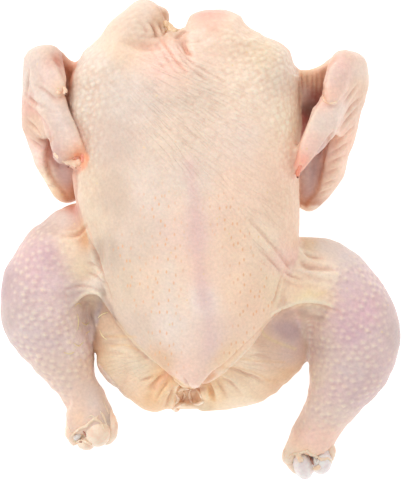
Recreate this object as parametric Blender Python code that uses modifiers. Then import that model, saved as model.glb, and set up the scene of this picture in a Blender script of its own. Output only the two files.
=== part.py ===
"""A whole raw chicken on its back: breast up, neck end towards +Y, wings folded, legs spread.

Left is -X and right is +X, as the bird is seen from above with its neck end away from the viewer.

The bird is one solid. It is laid up from overlapping closed forms (breast, back, belly, limbs and the
skin webs between them), fused by a voxel remesh, shaped further by pressing folds into the skin, thinned
out and cut flat where the back lies on the table. The two shank bones that show at the cut hocks are
solids of their own, each in a socket that runs up the drumstick.

Shapes are worked out in millimetres. The finished meshes are in metres.
"""

import math

import bmesh
import bpy
import numpy as np
from mathutils import Matrix, Vector

MM = 0.001

# Driving dimensions, in millimetres
BREAST_HEIGHT = 106.0
WEB_THICKNESS = 4.5
FLAT_DEPTH = 3.0
SHANK_BONE = 4.2
SOCKET_GAP = 0.5

# How finely the solids are made
VOXEL = 1.8
SMOOTH_ROUNDS = 5
SKIN_TRIANGLES = 10400
BONE_VOXEL = 0.9
BONE_TRIANGLES = 560

# The drumsticks from knee to hock: (x, y, z, half width, half thickness, roll)
DRUMSTICK_LEFT = [
    (-84, -9, 36, 23.5, 24, 0),
    (-92, -28, 34, 25, 24, 0),
    (-92.5, -48, 31, 25, 22.5, 0),
    (-86.5, -66, 28, 21.5, 19.5, 0),
    (-77.5, -83, 24, 16.4, 15.5, 0),
    (-69.5, -97, 20, 12.6, 12.5, 0),
    (-66, -106, 18, 13.6, 13, 0),
    (-65, -113, 17, 14.2, 13, 0),
]
DRUMSTICK_RIGHT = [
    (82.5, -24, 36, 20, 24, 0),
    (89.5, -40, 34, 25, 24, 0),
    (92.5, -57, 31, 26.5, 23, 0),
    (90, -74, 28, 23.5, 21, 0),
    (82.5, -92, 24, 18, 18, 0),
    (75.5, -104, 21, 15.2, 15, 0),
    (70, -114, 19, 14, 13.5, 0),
    (67, -121, 17.5, 14.4, 13.5, 0),
    (66, -126, 17, 14.8, 13.5, 0),
]

# The knuckles at the hocks: (centre, radii) of each lobe
KNUCKLE_LEFT = [((-60.5, -114.5, 18), (7.2, 9.5, 9)), ((-69.5, -117.5, 15.5), (5.8, 8, 7.5))]
KNUCKLE_RIGHT = [((61.8, -133, 17), (6.2, 10.2, 9)), ((74, -130.5, 18), (6.2, 9, 8.5))]


def curve_rows(rows, count):
    """The rows of numbers, resampled to count rows along a Catmull-Rom spline through them."""
    rows = np.asarray(rows, float)
    padded = np.vstack([2 * rows[0] - rows[1], rows, 2 * rows[-1] - rows[-2]])
    made = []
    for place in np.linspace(0, len(rows) - 1, count):
        i = min(int(place), len(rows) - 2)
        t = place - i
        a, b, c, d = padded[i : i + 4]
        made.append(
            0.5 * (2 * b + (c - a) * t + (2 * a - 5 * b + 4 * c - d) * t**2 + (3 * b - a - 3 * c + d) * t**3)
        )
    return np.array(made)


def mesh_object(name, points, faces):
    """A mesh object from points in millimetres."""
    mesh = bpy.data.meshes.new(name)
    mesh.from_pydata([tuple(float(v) * MM for v in p) for p in points], [], faces)
    return placed(name, mesh)


def placed(name, mesh):
    made = bpy.data.objects.new(name, mesh)
    bpy.context.scene.collection.objects.link(made)
    return made


def skin_rings(name, rings):
    """A closed tube through rings of equal point counts, with a flat fan at each end."""
    count = len(rings[0])
    points = [p for ring in rings for p in ring]
    faces = []
    for r in range(len(rings) - 1):
        for k in range(count):
            n = (k + 1) % count
            faces.append((r * count + k, r * count + n, (r + 1) * count + n, (r + 1) * count + k))
    faces.append(tuple(reversed(range(count))))
    last = (len(rings) - 1) * count
    faces.append(tuple(range(last, last + count)))
    made = mesh_object(name, points, faces)
    facing = bmesh.new()
    facing.from_mesh(made.data)
    bmesh.ops.recalc_face_normals(facing, faces=facing.faces)
    facing.to_mesh(made.data)
    facing.free()
    return made


def cap_steps(count=5):
    """(offset, size) pairs of a round end, from its tip to its full size."""
    angles = np.linspace(math.pi / 2 * 0.94, 0, count, endpoint=False)
    return [(math.sin(a), math.cos(a)) for a in angles]


def hull(name, stations, front_cap, back_cap, steps=60, around=48, fullness=(2.2, 2.2)):
    """A body form across the bird. Stations run tailwards: (y, left x, right x, bottom, widest level, top).

    A section is an ellipse at fullness 2 and squarer above it. The fullness runs from front to back."""
    rows = curve_rows(stations, steps)
    angles = np.linspace(0, 2 * math.pi, around, endpoint=False)

    def ring(row, y, size):
        _, left, right, bottom, wide, top = row
        share = (rows[0][0] - row[0]) / (rows[0][0] - rows[-1][0])
        bulge = 2 / (fullness[0] + (fullness[1] - fullness[0]) * share)
        across = np.sign(np.cos(angles)) * np.abs(np.cos(angles)) ** bulge
        up = np.sign(np.sin(angles)) * np.abs(np.sin(angles)) ** bulge
        x = (left + right) / 2 + across * (right - left) / 2 * size
        z = wide + np.where(up > 0, up * (top - wide), up * (wide - bottom)) * size
        return np.column_stack([x, np.full(around, y), z])

    rings = [ring(rows[0], rows[0][0] + front_cap * off, size) for off, size in cap_steps()]
    rings += [ring(row, row[0], 1.0) for row in rows]
    rings += [ring(rows[-1], rows[-1][0] - back_cap * off, size) for off, size in reversed(cap_steps())]
    return skin_rings(name, rings)


def limb(name, stations, steps=40, around=28, start_round=0.8, end_round=0.8):
    """A limb through stations of (x, y, z, half width, half thickness, roll in degrees), with round ends.

    The width lies level across the limb when the roll is 0."""
    rows = curve_rows(stations, steps)
    angles = np.linspace(0, 2 * math.pi, around, endpoint=False)
    path = rows[:, :3]
    along = np.gradient(path, axis=0)
    along /= np.linalg.norm(along, axis=1)[:, None]

    def ring(i, offset, size):
        tangent = Vector(along[i])
        side = tangent.cross(Vector((0, 0, 1))).normalized()
        side.rotate(Matrix.Rotation(math.radians(rows[i, 5]), 3, tangent))
        thick = side.cross(tangent)
        centre = path[i] + along[i] * offset
        width, thickness = rows[i, 3] * size, rows[i, 4] * size
        return [
            centre + np.array(side) * width * math.cos(a) + np.array(thick) * thickness * math.sin(a)
            for a in angles
        ]

    start = start_round * (rows[0, 3] + rows[0, 4]) / 2
    end = end_round * (rows[-1, 3] + rows[-1, 4]) / 2
    rings = [ring(0, -start * off, size) for off, size in cap_steps()]
    rings += [ring(i, 0.0, 1.0) for i in range(len(rows))]
    rings += [ring(len(rows) - 1, end * off, size) for off, size in reversed(cap_steps())]
    return skin_rings(name, rings)


def web(name, rows, thickness=WEB_THICKNESS, steps=24):
    """A stretched fold of skin: a sheet through rows of points, given its thickness by Solidify."""
    across = np.array([curve_rows(row, steps) for row in rows])
    grid = np.array([curve_rows(across[:, k], steps) for k in range(steps)])
    points = grid.reshape(-1, 3)
    faces = [
        (i * steps + k, i * steps + k + 1, (i + 1) * steps + k + 1, (i + 1) * steps + k)
        for i in range(steps - 1)
        for k in range(steps - 1)
    ]
    made = mesh_object(name, points, faces)
    thicken = made.modifiers.new("Thickness", "SOLIDIFY")
    thicken.thickness = thickness * MM
    thicken.offset = 0.0
    return made


def ball(name, centre, radii, turn=0.0, lean=0.0):
    """An ellipsoid, turned about the vertical and leant about its own long axis, in degrees."""
    shape = bmesh.new()
    bmesh.ops.create_uvsphere(shape, u_segments=36, v_segments=24, radius=1.0)
    place = (
        Matrix.Translation(Vector(centre) * MM)
        @ Matrix.Rotation(math.radians(turn), 4, "Z")
        @ Matrix.Rotation(math.radians(lean), 4, "X")
        @ Matrix.Diagonal([r * MM for r in radii] + [1.0])
    )
    shape.transform(place)
    mesh = bpy.data.meshes.new(name)
    shape.to_mesh(mesh)
    shape.free()
    return placed(name, mesh)


def breast_form():
    """The plump shield of the breast, from the neck end to the tip of the keel."""
    return hull(
        "Breast",
        [
            (120, -46, 30, 30, 52, 74),
            (112, -62, 46, 24, 52, 82),
            (100, -72, 56, 16, 52, 90),
            (84, -76, 59, 12, 50, 97),
            (64, -77, 60, 10, 50, 102),
            (40, -75.5, 60, 10, 50, 105),
            (16, -72, 60, 12, 52, BREAST_HEIGHT),
            (-6, -66, 58, 18, 55, 105),
            (-26, -58, 53, 28, 60, 102),
            (-46, -49, 43, 40, 66, 98),
            (-60, -39.5, 33.5, 50, 70, 95),
            (-72, -27.5, 22.5, 56, 73, 91),
            (-81, -17, 12.5, 59, 74, 87),
            (-86, -9, 5, 63, 74, 83.5),
        ],
        front_cap=8,
        back_cap=2,
        fullness=(2.25, 1.75),
    )


def back_form():
    """The rib cage and back, which carry the breast and lie on the table."""
    return hull(
        "Back",
        [
            (112, -48, 34, 16, 44, 66),
            (98, -60, 46, 6, 43, 78),
            (76, -66, 50, -1, 42, 86),
            (48, -66, 51, -FLAT_DEPTH, 40, 88),
            (10, -63, 51, -FLAT_DEPTH, 38, 84),
            (-30, -60, 56, -FLAT_DEPTH, 34, 74),
        ],
        front_cap=12,
        back_cap=10,
        fullness=(2.5, 2.5),
    )


def belly_form():
    """The soft belly and rump below the keel, wide and round, as far as the vent."""
    return hull(
        "Belly",
        [
            (-14, -60, 58, -FLAT_DEPTH, 32, 76),
            (-30, -66, 66, -FLAT_DEPTH, 29, 73),
            (-48, -66, 67, -FLAT_DEPTH, 28, 68),
            (-60, -64, 67, -FLAT_DEPTH, 27, 64),
            (-70, -60.5, 65, -2, 26, 63),
            (-79, -55, 59.5, -1, 26, 60),
            (-87, -48.5, 53, 1, 26, 56),
            (-94, -42, 44, 5, 26, 50),
            (-98.5, -35, 34, 9, 25, 43),
            (-100.5, -28, 26, 14, 25, 36),
        ],
        front_cap=12,
        back_cap=2,
        fullness=(2.3, 2.3),
    )


def neck_forms():
    """The rolled neck skin on the left and the shoulder on the right of the closed neck opening."""
    return [
        ball("NeckRoll", (-41, 116, 54), (19, 28, 23), turn=-40),
        ball("NeckRollTip", (-31.5, 128.5, 53), (13.5, 17, 17), turn=20),
        ball("NeckRollRoot", (-51.5, 99.5, 52), (23.5, 25.5, 32), turn=-35),
        ball("ShoulderRight", (8.5, 113, 55), (30, 25.5, 28)),
        ball("ShoulderRightSlope", (37.5, 98.5, 52), (22, 23, 32), turn=25),
        ball("NeckFloor", (-14, 104, 42), (44, 18, 32)),
    ]


def leg_forms():
    """Thighs and drumsticks of both legs, which end in a short cuff of skin round the hock."""
    return [
        limb("ThighLeft", [(-38, -22, 34, 30, 27, 0), (-64, -9, 37, 27, 26, 0), (-83, -9, 37, 23.5, 24, 0)]),
        ball("FlankLeft", (-71, 3, 34), (21, 19, 24)),
        limb("DrumstickLeft", DRUMSTICK_LEFT, end_round=0.3),
        limb("ThighRight", [(36, -32, 34, 30, 27, 0), (64, -24, 37, 26, 26, 0), (80, -24, 37, 20.5, 24, 0)]),
        ball("FlankRight", (70, -16.5, 34), (25, 17, 24)),
        limb("DrumstickRight", DRUMSTICK_RIGHT, end_round=0.3),
        ball("HeelRight", (55, -129, 17), (5.5, 7.5, 8)),
    ]


def leg_webs():
    """The loose skin between breast and legs, ending in a free arched edge over each groin."""
    return [
        web(
            "WebLeft",
            [
                [(-78, 2, 50), (-70, 4, 54), (-58, 5, 62)],
                [(-80, -12, 54), (-71, -12, 57), (-58, -12, 64)],
                [(-78, -28, 54), (-67, -25, 58), (-53, -30, 66)],
                [(-74, -39, 49), (-63, -31, 57), (-49, -47, 68)],
            ],
        ),
        web(
            "WebRight",
            [
                [(76, -12, 50), (68, -9, 54), (54, -4, 62)],
                [(79, -22, 54), (68, -20, 59), (53, -20, 66)],
                [(80, -33, 54), (65, -31, 61), (48, -36, 68)],
                [(77, -40, 51), (61, -38, 60), (41, -49, 69)],
            ],
        ),
        web(
            "GroinLeft",
            [
                [(-76, -30, 34), (-66, -34, 30), (-54, -36, 34)],
                [(-76, -56, 26), (-66, -60, 22), (-54, -58, 26)],
            ],
        ),
        web(
            "GroinRight",
            [
                [(74, -38, 34), (66, -42, 30), (54, -44, 34)],
                [(76, -62, 26), (67, -66, 22), (56, -62, 26)],
            ],
        ),
    ]


def wing_forms():
    """Both folded wings: upper arm, forearm, hand, thumb and the web of skin along the front edge."""
    return [
        limb("UpperArmLeft", [(-56, 88, 36, 16, 16, 0), (-68, 62, 27, 14, 14, 0), (-80, 32, 17, 10, 12, 0)]),
        limb(
            "ForearmLeft",
            [
                (-79, 30.6, 16, 8.5, 11, 0),
                (-87, 42, 20, 8.5, 12, 0),
                (-93.6, 55, 25, 8.3, 13, 0),
                (-97.3, 68.5, 31, 8.3, 13, 0),
                (-98, 80.5, 37, 8.6, 13, 0),
                (-96.5, 94, 42, 9, 12, 0),
                (-95, 107, 47, 10, 10, 0),
            ],
        ),
        limb(
            "HandLeft",
            [
                (-93, 109, 52, 9.5, 7, 0),
                (-90.5, 92, 58, 9, 6.5, 10),
                (-87, 79, 65, 9, 5.5, 20),
                (-83, 67, 70, 9.6, 5, 28),
                (-79, 56, 73.5, 11, 4.5, 32),
                (-76.5, 51, 75, 11, 4, 32),
            ],
            end_round=0.25,
        ),
        limb("ThumbLeft", [(-91, 110, 56, 8, 6, 0), (-86.5, 99, 66, 7, 5.5, 15), (-83.5, 91.5, 70, 6, 4.2, 25)]),
        web(
            "HandWebLeft",
            [
                [(-101, 100, 50), (-95, 99, 56), (-90, 98, 58)],
                [(-102, 84, 45), (-95, 83, 53), (-88, 82, 62)],
                [(-101, 70, 42), (-95, 68, 50), (-87, 68, 65)],
                [(-99, 65, 40), (-93, 61.5, 48), (-86, 64, 65)],
            ],
        ),
        web(
            "WingWebLeft",
            [
                [(-91, 117, 50), (-81, 111, 49), (-68, 102, 47)],
                [(-92, 98, 42), (-80, 91, 34), (-66, 86, 37)],
                [(-90, 68, 28), (-80, 66, 24), (-68, 64, 30)],
                [(-84, 40, 19), (-78, 42, 19), (-72, 46, 24)],
            ],
        ),
        limb("UpperArmRight", [(44, 86, 36, 16, 16, 0), (55, 58, 27, 14, 14, 0), (63, 30, 17, 10, 12, 0)]),
        limb(
            "ForearmRight",
            [
                (65, 26.6, 15, 9.5, 11, 0),
                (75, 36, 19, 8.8, 12, 0),
                (81.3, 48, 24, 8.8, 13, 0),
                (86, 60, 30, 8.8, 13, 0),
                (90, 73, 36, 9, 13, 0),
                (91.3, 88, 42, 9.6, 12, 0),
                (90, 104, 47, 10.8, 10, 0),
            ],
        ),
        limb(
            "HandRight",
            [
                (89, 105.5, 52, 9.5, 7, 0),
                (84, 90, 57, 10, 6.5, -10),
                (77.5, 77, 62, 10, 5.5, -18),
                (71.3, 65, 66, 9.2, 5, -24),
                (66.4, 57, 69, 7.2, 4.6, -24),
                (62, 49, 70, 5, 3.8, -18),
                (58.8, 42, 69, 3, 2.8, 0),
            ],
            end_round=0.9,
        ),
        limb("ThumbRight", [(87, 107, 56, 8, 6, 0), (82, 96, 65, 7, 5.5, -15), (79, 86, 69, 6.2, 4.2, -20)]),
        web(
            "HandWebRight",
            [
                [(96, 98, 50), (90, 97, 55), (84, 95, 57)],
                [(97, 82, 46), (90, 80, 53), (82, 80, 60)],
                [(94, 70, 42), (88, 68, 51), (79, 69, 61)],
                [(92, 65, 40), (86, 62, 48), (78, 65, 61)],
            ],
        ),
        web(
            "WingWebRight",
            [
                [(88, 115, 50), (76, 106, 48), (64, 101.5, 47), (55, 105, 48)],
                [(88, 96, 42), (76, 88, 32), (66, 84, 33), (54, 84, 38)],
                [(84, 66, 28), (75, 63, 24), (68, 62, 26), (58, 62, 30)],
                [(71, 38, 19), (68, 39, 19), (65, 40, 21), (60, 42, 24)],
            ],
        ),
    ]


def tail_form():
    """The stump of the tail, low behind the vent."""
    return ball("Tail", (-7, -91, 17), (17, 12, 9), lean=-12)


def joined(name, pieces):
    """One mesh object that holds every piece as it is evaluated. The pieces are removed."""
    bpy.context.view_layer.update()
    graph = bpy.context.evaluated_depsgraph_get()
    whole = bmesh.new()
    for piece in pieces:
        mesh = bpy.data.meshes.new_from_object(piece.evaluated_get(graph))
        mesh.transform(piece.matrix_world)
        whole.from_mesh(mesh)
    for piece in pieces:
        bpy.data.objects.remove(piece)
    mesh = bpy.data.meshes.new(name)
    whole.to_mesh(mesh)
    whole.free()
    return placed(name, mesh)


def apply_modifiers(shape):
    """Replaces the object's mesh by what its modifiers make of it."""
    bpy.context.view_layer.update()
    graph = bpy.context.evaluated_depsgraph_get()
    mesh = bpy.data.meshes.new_from_object(shape.evaluated_get(graph))
    shape.modifiers.clear()
    shape.data = mesh


def fuse(shape):
    """Fuses the overlapping forms into one closed skin and softens their joins."""
    remesh = shape.modifiers.new("Fuse", "REMESH")
    remesh.mode = "VOXEL"
    remesh.voxel_size = VOXEL * MM
    soften = shape.modifiers.new("Soften", "SMOOTH")
    soften.factor = 0.5
    soften.iterations = SMOOTH_ROUNDS
    apply_modifiers(shape)


def skin_arrays(shape):
    """Positions in millimetres and normals of the object's vertices."""
    mesh = shape.data
    points = np.empty(len(mesh.vertices) * 3)
    mesh.vertices.foreach_get("co", points)
    normals = np.empty(len(mesh.vertices) * 3)
    mesh.vertex_normals.foreach_get("vector", normals)
    return points.reshape(-1, 3) / MM, normals.reshape(-1, 3)


def soften(shape, points, weight, rounds):
    """Points drawn towards their neighbours' middle, each by its own weight from 0 to 1."""
    edges = np.empty(len(shape.data.edges) * 2, int)
    shape.data.edges.foreach_get("vertices", edges)
    first, second = edges.reshape(-1, 2).T
    count = np.bincount(edges, minlength=len(points))[:, None]
    for _ in range(rounds):
        total = np.zeros_like(points)
        np.add.at(total, first, points[second])
        np.add.at(total, second, points[first])
        points = points + (total / count - points) * 0.5 * weight[:, None]
    return points


def plan_distance(points, path):
    """Each point's distance in plan to a curve through path, and how far along it that is, from 0 to 1."""
    line = curve_rows(path, 24)
    nearest = np.full(len(points), np.inf)
    place = np.zeros(len(points))
    for i in range(len(line) - 1):
        start, step = line[i], line[i + 1] - line[i]
        share = np.clip(((points[:, :2] - start) @ step) / (step @ step), 0, 1)
        gap = np.linalg.norm(points[:, :2] - start - share[:, None] * step, axis=1)
        closer = gap < nearest
        nearest[closer] = gap[closer]
        place[closer] = ((i + share) / (len(line) - 1))[closer]
    return nearest, place


def press_fold(points, normals, path, width, depth):
    """Presses a groove along a plan path into the skin that faces up. It's deepest halfway along.

    The skin on both sides of it swells by a quarter of its depth."""
    gap, place = plan_distance(points, path)
    faces_up = np.clip(normals[:, 2] * 3, 0, 1)
    fade = np.sin(math.pi * np.clip(place, 0.06, 0.94)) ** 0.6
    groove = np.exp(-((gap / width) ** 2))
    swell = np.exp(-(((gap - 2.1 * width) / width) ** 2)) / 4
    return points + normals * ((swell - groove) * depth * fade * faces_up)[:, None]


def sink(points, centre, radii, push):
    """Pushes what lies in an ellipsoid by up to push, most at its centre."""
    inside = np.clip(1 - (((points - centre) / radii) ** 2).sum(axis=1), 0, 1)
    return points + (inside * (2 - inside))[:, None] * np.array(push)


# Folds in the skin seen from above: (plan path, half width, depth)
FOLDS = [
    ([(-44, 118), (-34, 115.5), (-25, 116), (-20, 118)], 2.4, 3.4),
    ([(-13, 128), (-11, 120), (-8, 112), (-5, 106)], 2.4, 3.6),
    ([(-27, 131), (-25, 124), (-24, 119)], 1.8, 1.8),
    ([(-9, 121), (2, 119), (8, 121)], 2.0, 1.4),
    ([(50, -12), (60, -19), (74, -22)], 2.4, 2.6),
    ([(44, -14), (52, -24), (66, -27), (78, -26)], 2.0, 1.6),
    ([(-62, 8), (-60, -6), (-62, -18), (-70, -26)], 3.0, 2.6),
    ([(3, -80), (6, -90), (7, -101)], 2.2, 2.8),
    ([(4, -79), (12, -84), (18, -90)], 2.0, 2.0),
    ([(14, -76), (24, -80), (36, -85)], 2.2, 2.2),
    ([(-17, -80), (-25, -88), (-31, -94)], 2.4, 2.2),
    ([(-14, -84), (-18, -92), (-22, -100)], 2.4, 2.6),
]


def shape_skin(shape):
    """Rounds the neck end, opens the neck and the vent a little and presses the folds in."""
    points, _ = skin_arrays(shape)
    neck = np.clip((points[:, 1] - 88) / 14, 0, 1) * np.clip((76 - np.abs(points[:, 0] + 8)) / 10, 0, 1)
    points = soften(shape, points, neck, 22)
    points = sink(points, (-14.5, 132, 56), (9, 15, 22), (0, -9, -3))
    points = sink(points, (-7, -95, 44), (10.5, 9, 20), (0, 5, -9))
    points = sink(points, (-7, -104, 30), (9, 6, 16), (0, 2.5, 0))
    store(shape, points)
    for path, width, depth in FOLDS:
        points, normals = skin_arrays(shape)
        store(shape, press_fold(points, normals, path, width, depth))


def store(shape, points):
    shape.data.vertices.foreach_set("co", (points * MM).ravel())
    shape.data.update()


def thin_out(shape, triangles):
    """Lowers the triangle count, keeping triangles where the form turns most."""
    split = shape.modifiers.new("Triangles", "TRIANGULATE")
    split.min_vertices = 4
    apply_modifiers(shape)
    decimate = shape.modifiers.new("Thin", "DECIMATE")
    decimate.ratio = triangles / len(shape.data.polygons)
    apply_modifiers(shape)


def leg_bone(name, drumstick, knuckle):
    """The shank bone from below the knee to its two-lobed knuckle at the hock."""
    stations = [(x, y, z, SHANK_BONE, SHANK_BONE, 0) for x, y, z, *_ in drumstick[1:]]
    forms = [limb(name + "_shaft", stations, around=16)]
    forms += [ball(f"{name}_lobe_{i}", centre, radii) for i, (centre, radii) in enumerate(knuckle)]
    bone = joined(name, forms)
    remesh = bone.modifiers.new("Fuse", "REMESH")
    remesh.mode = "VOXEL"
    remesh.voxel_size = BONE_VOXEL * MM
    even = bone.modifiers.new("Soften", "SMOOTH")
    even.factor = 0.5
    even.iterations = 3
    apply_modifiers(bone)
    thin_out(bone, BONE_TRIANGLES)
    return bone


def cut_flat(shape):
    """Cuts the back flat at z = 0, where the bird's own weight presses it to the table."""
    cut = bmesh.new()
    cut.from_mesh(shape.data)
    parts = cut.verts[:] + cut.edges[:] + cut.faces[:]
    bmesh.ops.bisect_plane(cut, geom=parts, plane_co=(0, 0, 0), plane_no=(0, 0, 1), clear_inner=True)
    rim = [e for e in cut.edges if e.is_boundary]
    bmesh.ops.contextual_create(cut, geom=rim)
    bmesh.ops.triangulate(cut, faces=[f for f in cut.faces if len(f.verts) > 4])
    cut.to_mesh(shape.data)
    cut.free()


def add_socket(shape, bone):
    """Cuts the bone's socket out of the leg with a copy of the bone, grown by the gap and left in the scene."""
    cutter = placed(bone.name + "_socket", bone.data.copy())
    cutter.hide_render = True
    cutter.display_type = "WIRE"
    grow = cutter.modifiers.new("Gap", "DISPLACE")
    grow.mid_level = 0.0
    grow.strength = SOCKET_GAP * MM
    socket = shape.modifiers.new("Socket", "BOOLEAN")
    socket.operation = "DIFFERENCE"
    socket.solver = "EXACT"
    socket.object = cutter
    return cutter


def centre_on_table(parts):
    """Moves the parts so that the origin is below the middle of their box."""
    points = np.vstack([skin_arrays(part)[0] for part in parts])
    middle = (points.min(axis=0) + points.max(axis=0)) / 2
    move = Matrix.Translation((-middle[0] * MM, -middle[1] * MM, 0))
    for part in parts:
        part.data.transform(move)


def material(name, colour, roughness):
    """A plain Principled material. The colour is linear."""
    made = bpy.data.materials.new(name)
    made.use_nodes = True
    surface = made.node_tree.nodes["Principled BSDF"]
    surface.inputs["Base Color"].default_value = (*colour, 1.0)
    surface.inputs["Roughness"].default_value = roughness
    surface.inputs["Metallic"].default_value = 0.0
    return made


def collect(shape, group):
    bpy.context.scene.collection.objects.unlink(shape)
    group.objects.link(shape)


def finish(shape, surface, group):
    """Gives the piece its material, smooth shading and its collection."""
    shape.data.materials.append(surface)
    shape.data.shade_smooth()
    collect(shape, group)


def new_collection(name):
    made = bpy.data.collections.new(name)
    bpy.context.scene.collection.children.link(made)
    return made


def clear_scene():
    for leftover in list(bpy.data.objects):
        bpy.data.objects.remove(leftover)


def main():
    clear_scene()
    forms = [breast_form(), back_form(), belly_form()]
    forms += neck_forms() + leg_forms() + leg_webs() + wing_forms() + [tail_form()]
    chicken = joined("chicken", forms)
    fuse(chicken)
    shape_skin(chicken)
    thin_out(chicken, SKIN_TRIANGLES)
    cut_flat(chicken)
    bones = [
        leg_bone("left_leg_bone", DRUMSTICK_LEFT, KNUCKLE_LEFT),
        leg_bone("right_leg_bone", DRUMSTICK_RIGHT, KNUCKLE_RIGHT),
    ]
    centre_on_table([chicken] + bones)

    parts = new_collection("Whole raw chicken")
    cutters = new_collection("Cutters")
    finish(chicken, material("skin", (0.87, 0.67, 0.55), 0.45), parts)
    for bone in bones:
        collect(add_socket(chicken, bone), cutters)
        finish(bone, material(bone.name, (0.80, 0.70, 0.62), 0.35), parts)


main()
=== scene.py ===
# %% [markdown]
# # A whole raw chicken, lying on its back
#
# The bird lies breast up, with its neck end away from us. The frame holds its plain solids at real
# size. Here it gets the looks: loose skin with folds and follicles, the colours of raw meat showing
# through, cut hocks with bare knuckles, and soft light from above.
#
# Lengths are in millimetres in this lesson, and turned into metres where Blender needs them.

# %% Load the solids
import itertools
import math
import random

import bmesh
import bpy
import numpy as np
from mathutils import Euler, Matrix, Vector, noise
from mathutils.bvhtree import BVHTree
from mathutils.kdtree import KDTree


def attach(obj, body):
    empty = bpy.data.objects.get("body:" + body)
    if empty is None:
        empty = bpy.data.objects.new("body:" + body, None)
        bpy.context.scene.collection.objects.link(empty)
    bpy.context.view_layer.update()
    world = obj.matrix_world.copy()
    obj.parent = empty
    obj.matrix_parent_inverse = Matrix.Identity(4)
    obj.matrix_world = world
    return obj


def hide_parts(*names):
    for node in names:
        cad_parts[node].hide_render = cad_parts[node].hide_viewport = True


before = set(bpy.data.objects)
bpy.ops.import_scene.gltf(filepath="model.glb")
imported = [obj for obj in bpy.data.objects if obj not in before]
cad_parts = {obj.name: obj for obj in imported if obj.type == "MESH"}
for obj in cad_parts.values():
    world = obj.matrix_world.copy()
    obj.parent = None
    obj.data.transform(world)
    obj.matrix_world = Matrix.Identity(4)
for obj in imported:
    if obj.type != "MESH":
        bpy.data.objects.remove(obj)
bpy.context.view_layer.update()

MM = 0.001

# %% [markdown]
# ## The camera
#
# The picture looks straight down on the bird. A long lens from far away keeps the near breast and the
# far hocks at one scale, as in a catalogue picture. The frame is as high as 480 pixels of 0.6 mm.

# %% Camera
PIXEL = 0.6
PICTURE_HIGH = 480
CAMERA_HEIGHT = 4000
CAMERA_OVER = (0.4, -0.4)
VIEW_LEVEL = 45

camera_data = bpy.data.cameras.new("camera")
camera = bpy.data.objects.new("camera", camera_data)
bpy.context.scene.collection.objects.link(camera)
camera.location = (CAMERA_OVER[0] * MM, CAMERA_OVER[1] * MM, CAMERA_HEIGHT * MM)
camera_data.sensor_width = 36.0
camera_data.lens = camera_data.sensor_width * (CAMERA_HEIGHT - VIEW_LEVEL) / (PICTURE_HIGH * PIXEL)
bpy.context.scene.camera = camera
print("lens", round(camera_data.lens), "mm")

# %% [markdown]
# ## The table
#
# A white table fills the picture. A lit table in a studio glows a little from below, which takes away
# almost all of the bird's shadow, so a plain plane with a faint emission stands for it.

# %% Table
TABLE_SIZE = 9000
TABLE_GLOW = 0.8


def plain_material(name, colour, roughness):
    made = bpy.data.materials.new(name)
    made.use_nodes = True
    surface = made.node_tree.nodes["Principled BSDF"]
    surface.inputs["Base Color"].default_value = (*colour, 1.0)
    surface.inputs["Roughness"].default_value = roughness
    return made


bpy.ops.mesh.primitive_plane_add(size=TABLE_SIZE * MM)
table = bpy.context.object
table.name = "table"
table_white = plain_material("table_white", (0.55, 0.55, 0.55), 0.8)
table_glow = table_white.node_tree.nodes["Principled BSDF"]
table_glow.inputs["Emission Color"].default_value = (1.0, 1.0, 1.0, 1.0)
table_glow.inputs["Emission Strength"].default_value = TABLE_GLOW
table.data.materials.append(table_white)
print("the table glows at", TABLE_GLOW)

# %% [markdown]
# ## The light
#
# The light is a bright, even room, made by the world's background. One large soft lamp to the upper
# left gives the follicles and folds their shade. A wide area lamp has no hard edge to its shadow, which
# a sun or a spot lamp would have.

# %% Light
ROOM_LIGHT = 0.86
LAMP_POWER = 11
LAMP_SIZE = 600
LAMP_PLACE = (-1100, 1100, 1100)

room = bpy.data.worlds.new("room")
bpy.context.scene.world = room
room.use_nodes = True
room.node_tree.nodes["Background"].inputs["Color"].default_value = (1.0, 1.0, 1.0, 1.0)
room.node_tree.nodes["Background"].inputs["Strength"].default_value = ROOM_LIGHT

lamp_data = bpy.data.lights.new("key_lamp", "AREA")
lamp_data.size = LAMP_SIZE * MM
lamp_data.energy = LAMP_POWER
lamp = bpy.data.objects.new("key_lamp", lamp_data)
bpy.context.scene.collection.objects.link(lamp)
lamp.location = Vector(LAMP_PLACE) * MM
lamp.rotation_euler = (-lamp.location).to_track_quat("-Z", "Y").to_euler()
bpy.context.scene.view_settings.view_transform = "Standard"
print("one lamp of", LAMP_POWER, "W in a room of strength", ROOM_LIGHT)

# %% [markdown]
# ## A fine skin over the solid
#
# The solid is faceted, for the sake of its collision and its file. Its copy is welded, rounded by
# subdivision and remeshed to even squares of 1.2 mm, small enough for follicles and folds. Sculpting by
# hand would do the same, but numbers can be read and changed. From here on the skin is shaped like
# clay, by moving its points.

# %% Remesh the skin
SKIN_GRAIN = 1.2
SKIN_ROUNDS = 6
WELD_GAP = 0.01


def apply_modifiers(shape):
    """Replaces the object's mesh by what its modifiers make of it."""
    bpy.context.view_layer.update()
    graph = bpy.context.evaluated_depsgraph_get()
    mesh = bpy.data.meshes.new_from_object(shape.evaluated_get(graph))
    shape.modifiers.clear()
    shape.data = mesh


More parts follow.
